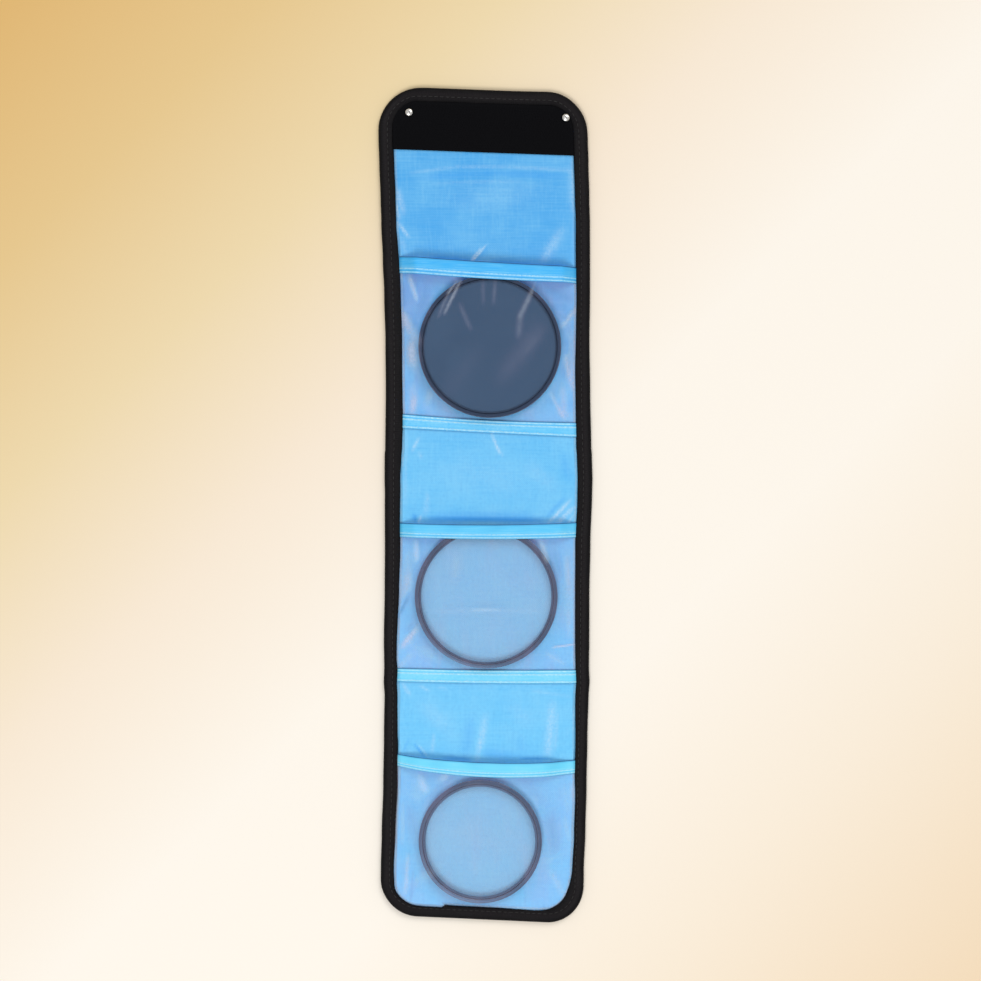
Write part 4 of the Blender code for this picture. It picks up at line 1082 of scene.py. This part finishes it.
def make_tape(pocket, kind, lines):
    """A tape folded over the film, pressed flat along its edges, with its sewn ridges and seams."""
    rows = 30
    mouth = kind == "mouth_tape"

    def spot(x, share):
        lower = curve_at(lines[1], x)
        return lower + (curve_at(lines[0], x) - lower) * share

    def place(u, j):
        side = math.copysign(0.0450, u)
        x = u * (HALF_WIDTH - lip_at(side, spot(side, 0.5)) - 0.1 * MM)
        y = spot(x, j / rows)
        middle_y = spot(x, 0.5)
        level = film_surface(pocket, x, middle_y)[0] if mouth else sewn_level(x, middle_y)
        height, painted_light = tape_ridges(j / rows, mouth)
        wave = swell(x, y, 90.0, 90.0, 4.0)
        paler = 0.0 if mouth else 0.17
        return x, y, level + (0.50 + height + 0.06 * wave) * MM, painted_light + paler + 0.12 * wave, 1.0

    tape = make_sheet(f"{pocket.name}_{kind}_nylon", 110, rows, place, TAPE_THICK)
    finish_piece(tape, "tape", 50.0, f"{pocket.name}_{kind}", pocket.body)

    # Each seam's share of the way up the tape, and how far its zigzag sways
    seams = ((0.07, 0.0), (0.29, 0.0)) if mouth else ((0.67, 0.0), (0.09, 0.3 * MM))
    places = []
    for share, sway in seams:
        line = []
        for i in range(121):
            x, y, z = place((2 * i / 120 - 1) * 0.985, round(share * rows))[:3]
            line.append(laid(x, y + sway * (i % 2 * 2 - 1), z + 0.24 * MM))
        places += along_line(line, 2.6 * MM)
    seam = copy_along(f"{pocket.name}_{kind}_stitches", model_stitch(2.0 * MM, 0.20 * MM), places)
    finish_piece(seam, "blue_thread", body=pocket.body)


# Hook strip and loop patch


def model_hook():
    """One hook: a fine nylon stem, bent over at its top."""
    bpy.ops.mesh.primitive_cylinder_add(vertices=5, radius=0.09 * MM, depth=0.2 * MM)
    hook = bpy.context.object
    bpy.ops.object.mode_set(mode="EDIT")
    bpy.ops.mesh.select_all(action="DESELECT")
    bpy.ops.object.mode_set(mode="OBJECT")
    for face in hook.data.polygons:
        face.select = face.normal.z > 0.9
    bpy.ops.object.mode_set(mode="EDIT")
    for move in ((0.0, 0.0, 0.25), (0.08, 0.0, 0.16), (0.16, 0.0, 0.05), (0.12, 0.0, -0.10)):
        bpy.ops.mesh.extrude_region_move(
            TRANSFORM_OT_translate={"value": tuple(part * MM for part in move)})
    bpy.ops.object.mode_set(mode="OBJECT")
    return mesh_of(hook)


def make_hook_strip():
    """The strip across the flap, and rows of hooks that lean a little either way."""
    low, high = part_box("hook_strip")
    rows = 30
    end_y = HALF_LENGTH - STRIP_INSET

    def place(u, j):
        # Its lower edge slopes with the flap's end, and hangs lower than in the plan
        start_y = low[1] - 1.28 * MM - TOP_SLOPE * u * (HALF_WIDTH - STRIP_INSET)
        y = start_y + (end_y - start_y) * math.sin(QUARTER * j / rows)
        x = u * half_at(y, STRIP_INSET)
        wave = swell(x, y, 40.0, 40.0, 6.0)
        return x, y, low[2] + (0.25 + 0.10 * wave) * MM, 0.0, 1.0

    strip = make_sheet("hook_strip_tape", 96, rows, place, 0.5 * MM)
    finish_piece(strip, "hook", solid="hook_strip", body="flap")

    spacing = 1.5 * MM
    rng = random.Random(4)
    places = []
    y = low[1] - 2.0 * MM
    row = 0
    while y < end_y - 1.2 * MM:
        half = half_at(y, STRIP_INSET) - 1.6 * MM
        count = int(2 * half / spacing)
        for i in range(count + 1):
            x = -half + 2 * half * i / count + (spacing / 2 if row % 2 else 0)
            if x > half or y < low[1] - TOP_SLOPE * x - 0.6 * MM:
                continue
            way = Vector((math.cos(rng.uniform(-0.5, 0.5)), math.sin(rng.uniform(-0.5, 0.5)), 0))
            places.append((laid(x, y, low[2] + 0.45 * MM), way.normalized()))
        y += spacing
        row += 1
    hooks = copy_along("hook_strip_hooks", model_hook(), places)
    finish_piece(hooks, "hook", 60.0, body="flap")


def model_loop():
    """One loop of the pile: a fine yarn that leaves the tape and goes back into it."""
    bpy.ops.mesh.primitive_circle_add(vertices=5, radius=0.07 * MM, fill_type="NOTHING")
    loop = bpy.context.object
    for vert in loop.data.vertices:
        vert.co = (vert.co.x + 0.32 * MM, 0.0, vert.co.y)
    bpy.ops.object.mode_set(mode="EDIT")
    bpy.ops.mesh.select_all(action="SELECT")
    bpy.ops.mesh.spin(steps=7, angle=-math.pi, center=(0, 0, 0), axis=(0, 1, 0))
    bpy.ops.mesh.select_all(action="SELECT")
    bpy.ops.mesh.fill_holes(sides=8)
    bpy.ops.mesh.normals_make_consistent(inside=False)
    bpy.ops.object.mode_set(mode="OBJECT")
    return mesh_of(loop)


def make_loop_patch():
    """The patch faces down from the middle panel's back, and so does its pile."""
    low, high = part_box("loop_patch")
    rows = 24

    def place(u, j):
        y = low[1] + (high[1] - low[1]) * j / rows
        return u * high[0], y, high[2] - 0.17 * MM, 0.0, 1.0

    patch = make_sheet("loop_patch_tape", 64, rows, place, 0.3 * MM)
    finish_piece(patch, "loop", solid="loop_patch", body="middle_panel")

    spacing = 1.7 * MM
    margin = 1.0 * MM
    rng = random.Random(9)
    places = []
    for i in range(int((2 * high[0] - 2 * margin) / spacing) + 1):
        for j in range(int((high[1] - low[1] - 2 * margin) / spacing) + 1):
            x = -high[0] + margin + spacing * (i + 0.5 * (j % 2))
            y = low[1] + margin + spacing * j + rng.uniform(-0.2, 0.2) * MM
            if x > high[0] - 0.6 * MM:
                continue
            angle = rng.uniform(0.0, math.pi)
            way = Vector((math.cos(angle), math.sin(angle), 0))
            places.append((laid(x, y, high[2] - 0.30 * MM), way))
    pile = copy_along("loop_patch_pile", model_loop(), places)
    finish_piece(pile, "loop", 60.0, body="middle_panel")


# Filter rings and rivets


def spun(name, centre, profile, steps):
    """A turned piece: its profile, in millimetres from its axis and up, spun full circle."""
    bpy.ops.mesh.primitive_circle_add(vertices=len(profile), radius=1.0, fill_type="NOTHING")
    piece = bpy.context.object
    piece.name = name
    piece.data.name = name
    for vert, (radius, z) in zip(piece.data.vertices, profile):
        vert.co = (centre[0] + radius * MM, centre[1], z * MM)
    bpy.ops.object.mode_set(mode="EDIT")
    bpy.ops.mesh.select_all(action="SELECT")
    bpy.ops.mesh.spin(steps=steps, angle=math.tau, center=(centre[0], centre[1], 0),
                      axis=(0, 0, 1))
    bpy.ops.mesh.select_all(action="SELECT")
    bpy.ops.mesh.remove_doubles(threshold=0.004 * MM)
    bpy.ops.mesh.delete_loose()
    bpy.ops.mesh.select_all(action="SELECT")
    bpy.ops.mesh.normals_make_consistent(inside=False)
    bpy.ops.object.mode_set(mode="OBJECT")
    return piece


def make_clear_rings():
    """The clear filters' turned rims, with their screw threads, and their retaining rings."""
    for kind, radius, glass_edge in (("large", 40.0, 36.55), ("small", 34.5, 30.8)):
        body = f"{kind}_clear_filter"
        centre = middle_of(body + "_ring")
        bore = radius - 3.0
        seat = radius - 2.1
        profile = [(bore, 5.3), (bore, 4.25), (bore + 0.15, 4.1), (radius - 1.75, 4.1)]
        # The male thread on the foot, the grip's grooves, and the female thread in the mouth
        for step in range(5):
            z = 4.2 + 0.24 * step
            profile += [(radius - 1.5, z), (radius - 1.74, z + 0.12)]
        profile += [(radius - 1.74, 5.4), (radius - 0.25, 5.4), (radius, 5.62)]
        for z in (6.1, 6.6, 7.1, 7.6):
            profile += [(radius, z), (radius - 0.14, z + 0.1), (radius, z + 0.2)]
        profile += [(radius, 8.12), (radius - 0.12, 8.3), (radius - 0.35, 8.4), (seat + 0.2, 8.4)]
        for z in (8.28, 8.12):
            profile += [(seat, z), (seat + 0.16, z - 0.08)]
        profile += [(seat, 7.95), (seat, 5.3)]
        ring = spun(body + "_rim", centre, profile, 128)
        finish_piece(ring, "rim", 25.0, body + "_ring", body)
        outer = seat - 0.3
        collar = [(glass_edge, 7.86), (glass_edge + 0.1, 7.32), (outer - 0.05, 7.3), (outer, 7.35),
                  (outer, 7.82), (outer - 0.08, 7.9), (glass_edge + 0.3, 7.9)]
        collar = spun(body + "_collar", centre, collar, 96)
        finish_piece(collar, "rim", 25.0, body + "_retaining_ring", body)


def make_rivets():
    """Tubular rivets: a domed cap with a dimple, the shank, and a flat cap on the back."""
    profile = [(0.0, 0.10), (1.9, 0.10), (2.15, 0.22), (2.2, 0.45), (2.05, 0.70), (1.0, 0.70),
               (1.0, 5.32), (1.9, 5.30), (2.08, 5.40), (2.12, 5.52), (2.05, 5.70), (1.84, 5.92),
               (1.5, 6.10), (1.05, 6.23), (0.70, 6.28), (0.52, 6.24), (0.44, 6.05), (0.0, 5.98)]
    pin = [(0.0, 5.90), (0.30, 5.90), (0.30, 6.06), (0.20, 6.14), (0.0, 6.17)]
    # The skewed cloth carries each of them this far from its place in the plan, in millimetres
    for side, shift in (("left", (-0.3, -0.8)), ("right", (-0.8, -0.8))):
        x, y = middle_of(f"rivet_{side}")
        centre = (x + shift[0] * MM, y + shift[1] * MM)
        cap = spun(f"rivet_{side}_cap", centre, profile, 40)
        finish_piece(cap, "rivet", 35.0, f"rivet_{side}", "flap")
        dot = spun(f"rivet_{side}_pin", centre, pin, 20)
        finish_piece(dot, "dark_rim", 35.0, body="flap")


def finish_nodes():
    """Gives every solid of the model its material, also where a piece replaces it."""
    for name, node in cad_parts.items():
        if "glass" in name:
            kind = "dark" if "polariser" in name else "clear"
        elif "ring" in name:
            kind = "dark_rim" if "polariser" in name else "rim"
        elif "rivet" in name:
            kind = "rivet"
        elif name == "loop_patch":
            kind = "loop"
        else:
            kind = {"shell": "shell", "foam": "foam", "lining": "lining", "film": "film",
                    "tape": "tape", "strip": "hook"}.get(name.split("_")[-1], "binding")
        for slot in node.material_slots:
            slot.material = MATERIALS[kind]


# Floor, light and camera


def backdrop_paint(tree):
    """Painted board, sprayed and left matt: pale cream that warms towards one corner."""
    place = add(tree, "TexCoord").outputs["Object"]
    parts = add(tree, "SeparateXYZ", (place,))
    diagonal = add(tree, "Math", (parts.outputs[1], parts.outputs[0]), operation="SUBTRACT")
    base = graded(tree, diagonal, (
        (-0.56, "#f2dab9"), (-0.3472, "#f8ebd8"), (-0.1736, "#fcf5ea"), (-0.0224, "#fcf5ea"),
        (0.1299, "#f7e8d4"), (0.2755, "#eed9ae"), (0.4099, "#e7c88f"), (0.56, "#e2b874")))
    grain = add(tree, "TexNoise", {"Vector": place, "Scale": 900.0, "Detail": 2.0})
    base = tinted(tree, base, (grain, 0.2, 0.8, 0.02, "#c9b28c"))
    return {"Base Color": base, "Roughness": 0.9, "Specular IOR Level": 0.1}


def make_stage():
    """The board that the case lies on, a tenth of a millimetre under it."""
    bpy.ops.mesh.primitive_plane_add(size=8.0, location=(0, 0, -0.1 * MM))
    floor = bpy.context.object
    floor.name = "table"
    bpy.ops.object.transform_apply(location=True, rotation=True, scale=True)
    floor.data.materials.append(make_material("backdrop_sprayed_board", backdrop_paint))


def make_lamp(name, place, size, power):
    """A round white softbox that faces the case."""
    light = bpy.data.lights.new(name, "AREA")
    light.shape = "DISK"
    light.size = size
    light.energy = power
    lamp = bpy.data.objects.new(name, light)
    lamp.location = place
    lamp.rotation_euler = (-Vector(place)).to_track_quat("-Z", "Y").to_euler()
    bpy.context.collection.objects.link(lamp)


def make_lights():
    """Soft even light, as of a photographer's tent: a white world and two large lamps."""
    world = bpy.data.worlds.new("studio")
    world.use_nodes = True
    background = world.node_tree.nodes["Background"]
    background.inputs["Color"].default_value = linear("#ffffff")
    background.inputs["Strength"].default_value = 0.50
    bpy.context.scene.world = world
    make_lamp("key_softbox", (-0.38, -1.18, 2.05), 1.1, 22.3)
    make_lamp("fill_softbox", (0.8, 1.35, 1.9), 1.4, 17.0)


def make_camera():
    """Straight above the open case, at the photograph's scale."""
    data = bpy.data.cameras.new("camera")
    data.sensor_width = 36.0
    data.lens = 98.0
    camera = bpy.data.objects.new("camera", data)
    camera.location = (0.00242, 0.00765, 1.504)
    bpy.context.collection.objects.link(camera)
    bpy.context.scene.camera = camera


def main():
    make_camera()
    finish_nodes()
    for section in NAMES:
        for layer in LAYERS:
            make_layer(section, *layer)
    stitch = model_stitch(2.5 * MM, 0.22 * MM)
    for section in NAMES:
        make_binding(section, stitch)
    for pocket in POCKETS:
        make_film(pocket)
        make_tape(pocket, "mouth_tape", pocket.mouth)
        if pocket.foot:
            make_tape(pocket, "foot_tape", pocket.foot)
    make_hook_strip()
    make_loop_patch()
    make_clear_rings()
    make_rivets()
    make_stage()
    make_lights()
    bpy.context.scene.view_settings.view_transform = "Standard"


main()
